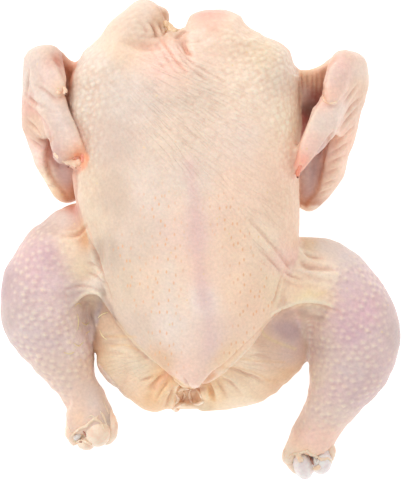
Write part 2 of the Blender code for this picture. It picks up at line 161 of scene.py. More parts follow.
def fine_copy(name, node, grain, rounds, balls=()):
    """A copy of a solid, and of any balls on it, with even squares of about grain, smoothed by rounds."""
    fine = bpy.data.objects.new(name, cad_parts[node].data.copy())
    clay = bmesh.new()
    clay.from_mesh(fine.data)
    for centre, radii, tilt in balls:
        place = Matrix.Translation(Vector(centre) * MM) @ Euler((0, 0, math.radians(tilt))).to_matrix().to_4x4()
        place = place @ Matrix.Diagonal((*(Vector(radii) * MM), 1))
        bmesh.ops.create_uvsphere(clay, u_segments=32, v_segments=20, radius=1, matrix=place)
    clay.to_mesh(fine.data)
    clay.free()
    bpy.context.scene.collection.objects.link(fine)
    weld = fine.modifiers.new("weld", "WELD")
    weld.merge_threshold = WELD_GAP * MM
    rounder = fine.modifiers.new("rounder", "SUBSURF")
    rounder.levels = rounder.render_levels = 1
    even = fine.modifiers.new("even", "REMESH")
    even.mode = "VOXEL"
    even.voxel_size = grain * MM
    smooth = fine.modifiers.new("smooth", "SMOOTH")
    smooth.factor = 0.5
    smooth.iterations = rounds
    apply_modifiers(fine)
    fine.data.shade_smooth()
    fine.data.materials.clear()
    return fine


skin = fine_copy("chicken_skin", "chicken", SKIN_GRAIN, SKIN_ROUNDS)
print("the skin has", len(skin.data.polygons), "faces")

# %% [markdown]
# ## The skin as points
#
# To move 150,000 points one by one would be slow, so they are read as one array, changed together and
# written back. The mean of a point's neighbours is needed often: it smooths numbers over the skin, and
# it shows how hollow a place is.

# %% Read and write the points
edges = np.empty(len(skin.data.edges) * 2, int)
skin.data.edges.foreach_get("vertices", edges)
edge_from, edge_to = edges.reshape(-1, 2).T
edge_count = np.bincount(edges)[:, None]


def read_points():
    points = np.empty(len(skin.data.vertices) * 3)
    skin.data.vertices.foreach_get("co", points)
    return points.reshape(-1, 3) / MM


def write_points(points):
    skin.data.vertices.foreach_set("co", (points * MM).ravel())
    skin.data.update()


def read_normals():
    normals = np.empty(len(skin.data.vertices) * 3)
    skin.data.vertex_normals.foreach_get("vector", normals)
    return normals.reshape(-1, 3)


def near_mean(values):
    """The mean of each point's neighbours, for a column or for several."""
    total = np.empty_like(values)
    for k in range(values.shape[1]):
        total[:, k] = np.bincount(edge_from, values[edge_to, k], len(values))
        total[:, k] += np.bincount(edge_to, values[edge_from, k], len(values))
    return total / edge_count


def evened(values, rounds):
    """The values, drawn halfway to the mean of their neighbours, a few times over."""
    for _ in range(rounds):
        values = values + (near_mean(values) - values) * 0.5
    return values


print("the skin has", len(edge_count), "points")

# %% [markdown]
# ## The plan grid
#
# Every fold and colour has a place on the bird. They are given on one plan grid, seen from above,
# which is the grid of the photograph's pixels: columns count to the right and rows count towards the
# hocks, 0.6 mm apart, with the middle of the bird near column 200 and row 240. A ray sent down from
# above finds the skin below a place.

# %% Plan grid
GRID_MIDDLE = (200, 240)
GRID_SHIFT = (-0.15, -0.4)
RAY_START = 200


def skin_tree():
    mesh = skin.data
    return BVHTree.FromPolygons([v.co for v in mesh.vertices], [p.vertices for p in mesh.polygons])


def plan(*places):
    """Grid places as plan points in millimetres."""
    return [
        ((c - GRID_MIDDLE[0]) * PIXEL + GRID_SHIFT[0], (GRID_MIDDLE[1] - r) * PIXEL + GRID_SHIFT[1])
        for c, r in places
    ]


def ray_down(x, y):
    """The point of the skin below a plan point, or None beside the bird."""
    hit, _, _, _ = tree.ray_cast(Vector((x, y, RAY_START)) * MM, Vector((0, 0, -1)))
    return None if hit is None else np.array(hit) / MM


def laid_point(x, y):
    hit = ray_down(x, y)
    return np.array((x, y, 0.0)) if hit is None else hit


def spot(column, row):
    """The point of the skin below a grid place."""
    return laid_point(*plan((column, row))[0])


tree = skin_tree()
print("column 148, row 8 lies at", np.round(spot(148, 8), 1))

# %% [markdown]
# ## Which part of the bird a point belongs to
#
# The wings and legs lie close beside the breast, so a colour or a bump needs to know which part it is
# on. The sides of the breast and of the belly, row by row, tell the parts apart. Each line below is a
# row with the columns of its left and right side.

# %% Parts of the bird
BREAST_SIDES = [
    (0, 120, 250), (30, 100, 252), (50, 86, 286), (65, 77, 297), (80, 74, 301), (100, 69, 302),
    (112, 72, 302), (125, 78, 302), (138, 83, 301), (150, 87, 298), (160, 91, 295), (168, 88, 293),
    (176, 78, 298), (180, 78, 301), (200, 78, 300), (220, 84, 300), (240, 89, 301), (260, 96, 297),
    (280, 104, 290), (300, 108, 281), (320, 118, 270), (340, 135, 255), (360, 155, 235), (375, 172, 220),
    (388, 194, 199),
]
BELLY_SIDES = [
    (296, 104, 284), (310, 102, 292), (330, 96, 300), (345, 92, 308), (360, 95, 306), (380, 112, 296),
    (400, 128, 268), (415, 140, 250),
]
BREAST_END, BELLY_START, BELLY_END, WING_END = 388, 296, 420, 206
BETWEEN_SIDES = 190


def between_sides(sides, column, row):
    rows, left, right = np.array(sides).T
    return (column > np.interp(row, rows, left)) & (column < np.interp(row, rows, right))


def part_masks():
    points = read_points()
    column = points[:, 0] / PIXEL + GRID_MIDDLE[0]
    row = GRID_MIDDLE[1] - points[:, 1] / PIXEL
    body = between_sides(BREAST_SIDES, column, row) & (row < BREAST_END)
    belly = between_sides(BELLY_SIDES, column, row) & (row > BELLY_START) & ~body & (row < BELLY_END)
    wing = (row < WING_END) & ~body & ~belly
    leg = ~body & ~belly & ~wing
    west = column < BETWEEN_SIDES
    return {
        "body": body, "belly": belly, "left_wing": wing & west, "right_wing": wing & ~west,
        "left_leg": leg & west, "right_leg": leg & ~west,
    }


parts = part_masks()
print("points in each part:", {name: int(mask.sum()) for name, mask in parts.items()})

# %% [markdown]
# ## Loose, uneven skin
#
# Skin on a plucked bird isn't drum-tight. It lies in soft lumps over fat and muscle, so wide low noise
# moves it a little in and out. A displace modifier could do that too, but not fade out at the table.
# The skin is also lifted by 0.3 to 0.9 mm, which the facets of the solid had cut off.

# %% Lumps
SKIN_LIFT = {"body": 0.3, "belly": 0.5, "left_wing": 0.9, "right_wing": 0.7, "left_leg": 0.9, "right_leg": 0.8}
LUMPS = ((26, 0.7, 1), (11, 0.5, 2), (6, 0.25, 3))
TABLE_FADE = (0.5, 4)


def rough(scale, seed):
    """Smooth noise for every point, with features of about scale millimetres."""
    shift = Vector((seed * 13.7, seed * 7.1, seed * 3.3))
    return np.array([noise.noise(Vector(p) / scale + shift) for p in read_points()])


points, normals = read_points(), read_normals()
lift = evened(sum(SKIN_LIFT[name] * mask for name, mask in parts.items())[:, None], 12)
lump = sum(height * rough(scale, seed) for scale, height, seed in LUMPS) + lift[:, 0]
lump *= np.clip((points[:, 2] - TABLE_FADE[0]) / TABLE_FADE[1], 0, 1)
write_points(points + normals * lump[:, None])
tree = skin_tree()
print("the lumps reach", round(float(lump.max()), 2), "mm")

# %% [markdown]
# ## The outline
#
# A soft bird never lies quite as its solid does. Here and there the outline is pulled out or pushed in
# by a millimetre or two. Each push has a grid place, the radii of the ellipsoid of skin that it moves,
# and its way and length.

# %% Set the outline right
SET_RIGHT = [
    ((50, 60), (24, 24, 60), (0, 0.6, 0)), ((350, 64), (24, 24, 60), (0, 0.8, 0)),
    ((88, 48), (18, 18, 60), (1.2, -1.2, 0)), ((162, 17), (7, 8, 30), (3.4, 0.6, 0)),
    ((248, 28), (9, 9, 40), (-2.0, -2.2, 0)), ((295, 64), (9, 9, 40), (-1.2, -1.2, 0)),
    ((355, 133), (13, 34, 60), (-2.7, 0.3, 0)), ((366, 107), (9, 14, 60), (-1.3, 0, 0)),
    ((20, 357), (12, 13, 60), (1.5, 1.1, 0)),
    ((289, 382), (10, 10, 60), (-0.9, 0.9, 0)), ((283, 444), (8, 12, 60), (1.5, 0, 0)),
    ((124, 394), (12, 12, 60), (-1.3, -1.4, 0)),
    ((377, 392), (12, 12, 60), (1.2, -0.7, 0)), ((3, 321), (12, 15, 60), (-1.5, 0, 0)),
    ((44, 219), (10, 10, 60), (-1.1, -1.1, 0)),
    ((74, 61), (8, 8, 60), (0.2, -1.5, 0)), ((30, 143), (8, 14, 60), (1.3, 0, 0)),
    ((8, 285), (16, 22, 60), (-1.4, 0, 0)), ((38, 384), (18, 26, 60), (3.4, 2.8, 0)),
    ((388, 345), (14, 34, 60), (2.4, -0.8, 0)), ((296, 410), (9, 28, 60), (3.0, 0.6, 0)),
    ((110, 370), (12, 14, 60), (-3.4, -2.0, 0)), ((150, 402), (13, 10, 60), (0, -3.2, 0)),
    ((60, 401), (8, 11, 60), (2.6, 0.8, 0)), ((307, 388), (5, 14, 60), (1.6, 0, 0)),
    ((268, 388), (14, 9, 60), (-1.2, 1.4, 0)), ((50, 216), (12, 8, 60), (-0.6, 1.2, 0)),
]


def mound(centre, radii, push, only=1):
    """Moves the skin in an ellipsoid by up to push, most at its centre, or only that of one part."""
    points = read_points()
    inside = np.clip(1 - (((points - centre) / radii) ** 2).sum(axis=1), 0, 1) * only
    points += (inside**2 * (3 - 2 * inside))[:, None] * np.array(push)
    write_points(points)


for place, radii, push in SET_RIGHT:
    mound(spot(*place), radii, push)
print(len(SET_RIGHT), "pushes at the outline")

# %% [markdown]
# The breast bulges against the left hand, and the right thumb lies a little further out. Each push is
# for one side of the gap alone, so it is multiplied by a soft mask of the breast, or of the rest.

# %% Close the gaps beside the hands
breast_only = evened(parts["body"].astype(float)[:, None], 6)[:, 0]
mound(spot(78, 104), (10, 26, 60), (-3.4, 0, 0), breast_only)
mound(spot(320, 99), (6, 10, 30), (1.6, -0.3, 0), 1 - breast_only)
tree = skin_tree()
print("the breast takes in", round(float((breast_only > 0.5).mean() * 100)), "% of the points")

# %% [markdown]
# ## A tool for creases
#
# A crease is pressed along a path on the skin, as with the edge of a spoon: deepest in its middle
# stretch, with a swelling on both sides. The path is a smooth curve through a few grid places, laid on
# the skin from above. Each point is moved by its distance to that line.

# %% Crease tool
PATH_STEPS = 30
CREASE_SWELL = 0.3


def smooth_curve(rows, count):
    """count points along a Catmull-Rom curve through the rows."""
    rows = np.asarray(rows, float)
    padded = np.vstack([2 * rows[0] - rows[1], rows, 2 * rows[-1] - rows[-2]])
    made = []
    for place in np.linspace(0, len(rows) - 1, count):
        i = min(int(place), len(rows) - 2)
        t = place - i
        a, b, c, d = padded[i : i + 4]
        made.append(
            0.5 * (2 * b + (c - a) * t + (2 * a - 5 * b + 4 * c - d) * t**2 + (3 * b - a - 3 * c + d) * t**3)
        )
    return np.array(made)


def laid(path):
    """A plan path, laid on the skin from above as points in space."""
    hits = [ray_down(x, y) for x, y in smooth_curve(path, PATH_STEPS)]
    return np.array([hit for hit in hits if hit is not None])


def along(points, line, reach):
    """Distance to a line in space and the place along it, for the points within reach of its box."""
    low, high = line.min(axis=0) - reach, line.max(axis=0) + reach
    near = np.flatnonzero(np.all((points > low) & (points < high), axis=1))
    gap = np.full(len(near), np.inf)
    place = np.zeros(len(near))
    for i in range(len(line) - 1):
        step = line[i + 1] - line[i]
        offset = points[near] - line[i]
        share = np.clip(offset @ step / max(step @ step, 1e-9), 0, 1)
        away = np.linalg.norm(offset - share[:, None] * step, axis=1)
        closer = away < gap
        gap[closer] = away[closer]
        place[closer] = (i + share[closer]) / (len(line) - 1)
    return near, gap, place


def groove(path, width, depth):
    """A crease along a plan path, deepest in its middle stretch, with a swelling on both sides."""
    points, normals = read_points(), read_normals()
    line = laid(path)
    near, gap, place = along(points, line, 5 * width)
    fade = np.sin(math.pi * np.clip(place, 0.04, 0.96)) ** 0.5
    cut = np.exp(-((gap / width) ** 2))
    rise = CREASE_SWELL * np.exp(-(((gap - 2.2 * width) / width) ** 2))
    points[near] += normals[near] * ((rise - cut) * depth * fade)[:, None]
    write_points(points)


print("a path is laid at", len(smooth_curve([(0, 0), (1, 2), (3, 3)], PATH_STEPS)), "points")

# %% [markdown]
# ## A tool for free edges
#
# Where one layer of skin lies over another there is a step: the upper layer stands proud of a line and
# the lower one drops below it. A crease alone would sink both sides by as much.

# %% Step tool
def lip(path, rise, sink, reach, side=1):
    """A step along a plan path: the skin on its left side stands proud, and the right side drops."""
    points, normals = read_points(), read_normals()
    line = laid(path)
    near, gap, place = along(points, line, 3 * reach)
    flat = line[:, :2]
    nearest = np.clip((place * (len(flat) - 1)).round().astype(int), 1, len(flat) - 1)
    run = flat[nearest] - flat[nearest - 1]
    offset = points[near][:, :2] - flat[nearest]
    turn = side * (run[:, 0] * offset[:, 1] - run[:, 1] * offset[:, 0])
    share = np.tanh(turn / np.maximum(np.linalg.norm(run, axis=1), 1e-6) / 0.7)
    fade = np.sin(math.pi * np.clip(place, 0.03, 0.97)) ** 0.4 * np.exp(-((gap / reach) ** 2))
    push = np.where(share > 0, share * rise, share * sink) * fade
    points[near] += normals[near] * push[:, None]
    write_points(points)


print("the step tool is ready")

# %% [markdown]
# ## Folds at the neck
#
# The neck was cut short. Its skin is drawn in at a notch between two lumps, with pleats running into
# the notch and wrinkles fanning out over the upper breast. Each fold is a groove: path, width, depth.
# The pleats between them are grooves of negative depth, which stand up.

# %% Neck folds
NECK_FOLDS = [
    ([(140, 38), (150, 39), (158, 38), (166, 39)], 1.4, 0.9),
    ([(154, 29), (155, 33), (157, 37)], 1.0, 1.3),
    ([(149, 21), (152, 26), (154, 31)], 1.0, 0.8),
    ([(143, 25), (146, 31), (148, 36)], 1.0, 0.8),
    ([(160, 23), (162, 30), (165, 36)], 1.0, 1.1),
    ([(164, 36), (168, 34), (174, 32), (178, 32)], 1.0, 1.4),
    ([(172, 40), (178, 43), (184, 39), (189, 34)], 0.9, 0.9),
    ([(179, 43), (190, 44), (202, 43)], 0.9, 0.5),
    ([(184, 46), (186, 51), (188, 55), (192, 57)], 1.1, 1.5),
    ([(162, 42), (168, 50), (175, 60), (181, 67), (187, 74)], 1.0, 1.1),
    ([(176, 46), (184, 56), (194, 66), (206, 73)], 0.9, 0.6),
    ([(158, 46), (165, 56), (171, 66), (178, 75)], 0.9, 0.6),
    ([(170, 44), (179, 56), (190, 68), (203, 79), (216, 88)], 0.9, 0.7),
    ([(150, 48), (156, 58), (163, 68), (172, 80)], 0.9, 0.4),
    ([(190, 60), (203, 70), (218, 80), (232, 88)], 0.9, 0.5),
    ([(196, 58), (212, 66), (228, 76)], 0.9, 0.4),
]
NECK_PLEATS = [
    ([(156, 25), (159, 31), (163, 38)], 1.1, 0.9),
    ([(150, 27), (152, 32), (154, 37)], 1.0, 0.6),
    ([(166, 37), (172, 35), (178, 34)], 1.2, 0.9),
]
NOTCH_EDGE = [(156, 3), (161, 12), (165, 20), (168, 27)]

for path, width, depth in NECK_FOLDS:
    groove(plan(*path), width, depth)
mound(spot(178, 38), (9, 7, 14), (-0.6, 2.8, 0))
for path, width, height in NECK_PLEATS:
    groove(plan(*path), width, -height)
lip(plan(*NOTCH_EDGE), 1.2, 1.4, 4, side=-1)
mound(spot(166, 20) + (1.5, 0, 0), (5, 6, 12), (0, 0, -2.0))
print(len(NECK_FOLDS), "folds and", len(NECK_PLEATS), "pleats at the neck")

# %% [markdown]
# ## Wrinkles across the breast
#
# Stretched skin on the breast lies in fine slanting wrinkles that fan out from the left shoulder. A
# pair of numbers at each point, across and along the fan, lets noise follow it: noise that is short
# across and long along makes lines. Grooves drawn one by one would look combed.

# %% Wrinkle tools
FAN_MIDDLE, BELLY_FAN_MIDDLE = (40, 10), (190, 345)


def disc(column, row, across, down):
    """A soft patch on the grid, 1 at its middle, for every point. Sizes are in grid steps."""
    middle = plan((column, row))[0]
    offset = (read_points()[:, :2] - middle) / PIXEL / (across, down)
    return np.exp(-(offset**2).sum(axis=1))


def grain_noise(scale_across, scale_along, angle, seed):
    """Noise drawn out into lines that run at an angle in plan, for every point."""
    points = read_points()
    turn = math.radians(angle)
    along_line = points[:, 0] * math.cos(turn) + points[:, 1] * math.sin(turn)
    across_line = points[:, 1] * math.cos(turn) - points[:, 0] * math.sin(turn)
    packed = zip(along_line / scale_along, across_line / scale_across, points[:, 2] / scale_along)
    return np.array([noise.noise(Vector(p) + Vector((seed, seed, seed))) for p in packed])


def fan_numbers(middle, wide=120):
    """How far each point lies across and along a fan of wrinkles, in millimetres."""
    points = read_points()
    right = points[:, 0] - plan(middle)[0][0]
    down = plan(middle)[0][1] - points[:, 1]
    return -wide * np.arctan2(right, down), np.hypot(right, down)


print("a patch fades to", round(math.exp(-1), 2), "at its rim")

# %% [markdown]
# The broad wrinkles are shaped here, in soft patches, and the material draws the hair-fine ones later
# from the same numbers. Each patch has a column and row, its reach across and down, an angle, and a
# height. Patches without an angle follow the fan.

# %% Breast wrinkles
WRINKLE_PATCHES = [
    (195, 105, 48, 34, None, 0.42), (185, 150, 50, 35, None, 0.42), (245, 195, 40, 60, None, 0.34),
    (266, 245, 20, 40, None, 0.42), (170, 68, 28, 18, None, 0.4), (110, 350, 18, 22, 5, 0.35),
    (265, 365, 30, 22, -12, 0.32), (106, 278, 12, 20, -15, 0.4),
]
WRINKLE_ACROSS, WRINKLE_ALONG = 3.6, 24
PLAIN_ACROSS, PLAIN_ALONG = 3.4, 22

points, normals = read_points(), read_normals()
upward = np.clip(normals[:, 2] * 1.6, 0, 1)
across_fan, along_fan = fan_numbers(FAN_MIDDLE)
wrinkle = np.zeros(len(points))
for order, (column, row, across, down, angle, height) in enumerate(WRINKLE_PATCHES):
    if angle is None:
        fan_places = zip(across_fan / WRINKLE_ACROSS, along_fan / WRINKLE_ALONG)
        lines = np.array([noise.noise((a, b, order)) for a, b in fan_places])
    else:
        lines = grain_noise(PLAIN_ACROSS, PLAIN_ALONG, angle, order * 5.3)
    wrinkle += 1.5 * height * disc(column, row, across, down) * lines
write_points(points + normals * (wrinkle * upward)[:, None])
print("the wrinkles reach", round(float(np.abs(wrinkle).max()), 2), "mm")

# %% [markdown]
# ## Webs of skin at the thighs
#
# Skin stretches from the belly to each thigh in a thin web with an arched free edge, and below the
# arch the groin is hollow. A step along the arch lifts the edge and sinks the groin, and creases
# gather towards it. A ridge runs out along the right thigh.

# %% Leg webs
LEFT_ARCH = [(76, 304), (84, 297), (91, 294), (99, 296), (105, 303), (110, 311), (117, 322)]
RIGHT_ARCH = [(270, 318), (278, 312), (287, 308), (298, 304), (310, 303), (320, 304), (333, 307)]
THIGH_RIDGE = [(291, 267), (303, 271), (318, 273), (337, 275)]
WEB_FOLDS = [
    ([(68, 289), (80, 286), (93, 287), (101, 291)], 0.9, 0.8),
    ([(74, 295), (86, 291), (97, 291)], 0.8, 0.6),
    ([(88, 272), (97, 276), (106, 283)], 0.9, 0.8),
    ([(90, 262), (98, 266), (106, 273)], 0.9, 0.8),
    ([(91, 242), (96, 252), (101, 264), (106, 280), (112, 296)], 1.6, 1.8),
    ([(64, 236), (77, 235), (83, 231), (88, 226)], 1.2, 1.4),
    ([(251, 220), (268, 241), (281, 256), (289, 269)], 1.5, 0.9),
    ([(284, 271), (293, 276), (303, 279)], 1.3, 1.8),
    ([(299, 258), (305, 265), (316, 268), (332, 269)], 1.8, 1.6),
    ([(302, 250), (310, 256), (322, 258)], 1.2, 1.1),
    ([(281, 277), (277, 292), (272, 306)], 1.3, 1.4),
    ([(260, 250), (272, 262), (283, 274)], 1.0, 0.8),
]
for arch in (LEFT_ARCH, RIGHT_ARCH):
    lip(plan(*arch), 0.9, 2.6, 5)
groove(plan(*THIGH_RIDGE), 1.7, -1.7)
for path, width, depth in WEB_FOLDS:
    groove(plan(*path), width, depth)
for groin, radii in (((106, 318), (9, 10, 14)), ((292, 325), (12, 11, 14))):
    mound(spot(*groin), radii, (0, 0, -2.5))
tree = skin_tree()
print("the arches lie", round(spot(93, 291)[2]), "and", round(spot(310, 300)[2]), "mm above the table")

# %% [markdown]
# ## The keel tip, the belly and the vent
#
# The breast skin ends in a lip that overhangs the belly, with a small nick at its tip. Below it the
# belly skin is gathered in folds round the open vent, which is a ragged pit of pinkish tissue.

# %% Keel tip, belly and vent
KEEL_LIP = [
    (120, 326), (138, 347), (154, 360), (168, 371), (177, 382), (186, 388), (196, 388),
    (203, 381), (212, 371), (224, 362), (240, 347), (262, 326),
]
BELLY_FOLDS = [
    ([(228, 367), (238, 370), (247, 374), (254, 376), (262, 381)], 1.2, 1.1),
    ([(221, 377), (226, 380), (233, 384)], 1.1, 0.9),
    ([(210, 384), (212, 391), (214, 399)], 1.4, 2.0),
    ([(217, 381), (222, 388), (227, 397)], 1.2, 1.1),
    ([(225, 377), (233, 384), (241, 394)], 1.2, 0.8),
    ([(168, 372), (158, 379), (150, 388)], 1.3, 1.9),
    ([(172, 377), (163, 389), (156, 401)], 1.3, 1.6),
    ([(164, 371), (152, 377), (142, 380)], 1.1, 1.3),
    ([(177, 384), (172, 394), (167, 406)], 1.3, 2.1),
    ([(102, 338), (112, 336), (122, 340)], 0.9, 0.5),
    ([(108, 352), (120, 353), (134, 357)], 0.9, 0.5),
    ([(246, 356), (258, 355), (270, 358)], 1.0, 0.5),
    ([(246, 364), (258, 364), (270, 367)], 0.9, 0.4),
    ([(185, 377), (187, 381), (190, 386)], 0.8, 1.2),
]
VENT = (190, 397)

lip(plan(*KEEL_LIP), 0.9, 2.8, 4)
for path, width, depth in BELLY_FOLDS:
    groove(plan(*path), width, depth)
mound(spot(*VENT), (9.5, 6.5, 20), (0, 1.0, -2.2))
mound(spot(182, 399), (3.2, 4, 12), (0, 0, -1.6))
mound(spot(197, 397), (3.6, 4, 12), (0, 0, -1.6))
tree = skin_tree()
print("the vent is", round(spot(190, 380)[2] - spot(*VENT)[2]), "mm below the keel tip")

# %% [markdown]
# ## Folded wings
#
# Each wing is folded in three: the forearm lies outside, the hand lies on it, and the thumb lies on
# the hand. Steps along their edges set them apart. Each line below is a path, how far the upper skin
# rises and the lower one sinks, the reach, and which side of the path is the upper one.

# %% Wing edges
WING_EDGES = [
    ([(51, 57), (57, 65), (62, 76), (67, 87), (66, 94)], 0.8, 1.0, 3, -1),
    ([(38, 85), (46, 89), (52, 94), (56, 97), (61, 97), (66, 94)], 0.9, 1.0, 3, 1),
    ([(26, 101), (34, 108), (41, 115), (47, 122), (52, 131), (53, 141)], 0.6, 0.9, 4, 1),
    ([(53, 141), (54, 150), (55, 158), (60, 163), (66, 165), (72, 168), (77, 169), (83, 167)], 1.2, 1.6, 3, 1),
    ([(67, 99), (71, 112), (77, 125), (82, 138), (86, 150), (88, 160)], 0.9, 1.4, 3, -1),
    ([(50, 137), (46, 150), (45, 160), (47, 170), (52, 181), (60, 191), (68, 203)], 1.0, 1.6, 4, -1),
    ([(337, 61), (330, 70), (326, 82), (323, 95)], 0.8, 1.0, 3, 1),
    ([(323, 96), (328, 104), (335, 105), (340, 99)], 0.9, 1.0, 3, 1),
    ([(340, 99), (345, 94), (351, 88)], 0.5, 0.8, 3, 1),
    ([(322, 100), (313, 114), (306, 129), (300, 144), (298, 155), (294, 168)], 0.9, 1.4, 3, 1),
    ([(338, 128), (329, 136), (321, 146), (312, 159), (305, 168), (299, 176)], 1.0, 1.5, 3, -1),
    (
        [(333, 134), (329, 144), (327, 154), (325, 163), (322, 172), (320, 182), (317, 191), (309, 204)],
        1.0, 1.6, 4, 1,
    ),
]
for path, rise, sink, reach, side in WING_EDGES:
    lip(plan(*path), rise, sink, reach, side)
print(len(WING_EDGES), "edges on the wings")

# %% [markdown]
# Skin gathers in scallops along the forearms, and in narrow pleats in the web between the right wing
# and the shoulder. Both are short grooves side by side.

# %% Wing folds
ARM_FOLDS = [
    [(28, 95), (36, 103), (46, 108)], [(27, 120), (36, 128), (43, 137)], [(32, 140), (40, 146), (46, 148)],
    [(36, 158), (42, 160), (46, 163)], [(42, 172), (47, 174), (50, 178)], [(48, 186), (53, 186), (57, 189)],
    [(361, 98), (352, 106), (345, 116)], [(356, 110), (347, 120), (340, 130)],
    [(353, 128), (344, 136), (335, 142)], [(350, 142), (340, 149), (331, 153)],
    [(346, 156), (337, 160), (329, 163)], [(341, 168), (333, 171), (326, 173)],
    [(336, 180), (328, 183), (322, 184)], [(329, 190), (322, 193), (317, 194)],
    [(357, 86), (350, 96), (344, 104)], [(30, 70), (29, 82), (27, 94)],
]
WING_WEB_PLEATS = [
    [(292 + 5 * k, 68 + min(k, 4)), (293 + 5 * k, 82), (297 + 4 * k, 98)] for k in range(1, 7)
]
for path in ARM_FOLDS:
    groove(plan(*path), 1.2, 1.1)
for path in WING_WEB_PLEATS:
    groove(plan(*path), 0.9, 0.8)
print(len(ARM_FOLDS), "folds and", len(WING_WEB_PLEATS), "pleats on the wings")

# %% [markdown]
# ## Follicles
#
# A plucked feather leaves a small bump. The bumps are never in perfect rows, yet keep their distance
# from each other. So spots are thrown at the skin in random order, and one is kept if no other is too
# near. A regular grid would look knitted, and plain random spots would clump.

# %% Lay out the follicles
FOLLICLE_GAP = {"left_leg": 3.9, "right_leg": 3.9, "left_wing": 3.6, "right_wing": 3.6, "body": 3.7}
FOLLICLE_SEED = 30
UNDERSIDE = -0.3


def scatter_spots(points, gap, seed):
    """Spots taken from the points in random order, none nearer than gap to another, each with a strength."""
    dice = random.Random(seed)
    order = list(range(len(points)))
    dice.shuffle(order)
    filled, spots = {}, []
    for i in order:
        place = points[i]
        cell = tuple(int(v // gap) for v in place)
        around = itertools.product(*[(c - 1, c, c + 1) for c in cell])
        if any(((place - other) ** 2).sum() < gap * gap for key in around for other in filled.get(key, ())):
            continue
        filled.setdefault(cell, []).append(place)
        spots.append((place, dice.uniform(0.35, 1)))
    return spots


points, normals, parts = read_points(), read_normals(), part_masks()
follicles = {}
for order, (name, gap) in enumerate(FOLLICLE_GAP.items()):
    chosen = (parts[name] | parts["belly"]) if name == "body" else parts[name]
    follicles[name] = scatter_spots(points[chosen & (normals[:, 2] > UNDERSIDE)], gap, FOLLICLE_SEED + order)
print("follicles:", {name: len(spots) for name, spots in follicles.items()})

# %% [markdown]
# The bumps are high on the thighs and drumsticks, plain on the shoulders and the sides of the breast,
# and faint in the middle, where the skin is stretched. Soft patches on the grid say how strong they
# are: the last number of each pebbled patch is its strength, and the smooth patches take bumps away.

# %% Strength of the follicles
PEBBLED = [
    (262, 64, 38, 30, 0.8), (228, 38, 28, 20, 0.6), (232, 100, 40, 30, 0.4), (288, 120, 20, 60, 0.95),
    (86, 130, 17, 70, 0.95), (105, 80, 26, 30, 0.6), (138, 26, 22, 22, 0.55), (185, 130, 60, 45, 0.22),
    (290, 200, 14, 50, 0.35),
]
SMOOTH_ON_LEGS = [
    (92, 288, 26, 28), (296, 286, 28, 22), (72, 214, 34, 26), (88, 246, 18, 26), (325, 252, 34, 16),
    (92, 432, 30, 26), (308, 452, 34, 22), (88, 402, 20, 16), (6, 300, 9, 70), (394, 300, 8, 60),
]
pebbles = sum(amount * disc(column, row, across, down) for column, row, across, down, amount in PEBBLED)
points, normals = read_points(), read_normals()
underneath = np.clip(0.35 - normals[:, 2], 0, 0.5)
strength = {
    "body": np.clip(pebbles + underneath, 0.05, 1.1),
    "leg": np.clip(1 - sum(disc(*place) for place in SMOOTH_ON_LEGS), 0.06, 1),
}
print("mean strength", {name: round(float(level.mean()), 2) for name, level in strength.items()})

# %% [markdown]
# Each spot raises a soft bump, drawn out a little the way the feathers lay. A number at each point of the skin
# says how far it lies up a bump, and another how far it lies on the side of one away from the lamp. The colours
# use both later: the bumps are paler than the skin round them, partly their own colour and partly a painted
# highlight, and their side away from the lamp is darker, which is painted shade.

# %% Raise the follicles
BUMP_WIDTH = {"left_leg": 1.25, "right_leg": 1.25, "left_wing": 1.1, "right_wing": 1.1, "body": 1.25}
BUMP_HEIGHT = {"left_leg": 0.7, "right_leg": 0.7, "left_wing": 0.25, "right_wing": 0.3, "body": 0.75}
BUMP_DRAWN_OUT = Vector((0.88, -0.47, 0))
TOWARD_LAMP = Vector((-0.35, 0.85, 0))


def raise_bumps():
    """How far each point lies up a bump, how high it is raised, and how far it lies on a bump's side away from
    the lamp, for painted shade.
    """
    finder = KDTree(len(points))
    for i, point in enumerate(points):
        finder.insert(point, i)
    finder.balance()
    masks = part_masks()
    masks["body"] = masks["body"] | masks["belly"]
    raised, height, below = (np.zeros(len(points)) for _ in range(3))
    for name, spots in follicles.items():
        level = strength["body"] if name == "body" else strength["leg"]
        width = BUMP_WIDTH[name]
        for place, share in spots:
            middle = Vector(place)
            for found, i, _ in finder.find_range(place, 2.8 * width):
                if masks[name][i]:
                    away = found - middle
                    squeeze = 0.5 * away.dot(BUMP_DRAWN_OUT) ** 2
                    swell = math.exp(-(away.length_squared - squeeze) / width**2) * level[i] * share
                    raised[i] = max(raised[i], swell)
                    height[i] = max(height[i], swell * BUMP_HEIGHT[name])
                    # The side of the bump away from the lamp, which the colours darken as painted shade.
                    away += TOWARD_LAMP * width
                    bump_shade = math.exp(-(away.length_squared - squeeze) / width**2) * level[i] * share
                    below[i] = max(below[i], bump_shade)
    return raised, height, np.clip(below - raised, 0, 1)


bump, bump_height, bump_shade = raise_bumps()
bump_height *= np.clip((points[:, 2] - 0.5) / 3, 0, 1) * np.clip(0.35 + normals[:, 2], 0.3, 1)
write_points(points + normals * bump_height[:, None])
print("raised skin:", round(float((bump > 0.3).mean() * 100)), "% of the points")

# %% [markdown]
# ## Settle on the table
#
# Shaping may have pushed a point below the table or past the solid's flat. Those points go back up.

# %% Settle
points = read_points()
points[:, 2] = np.maximum(points[:, 2], 0.0)
write_points(points)
tree = skin_tree()
print("lowest point at", round(float(points[:, 2].min()), 2), "mm")
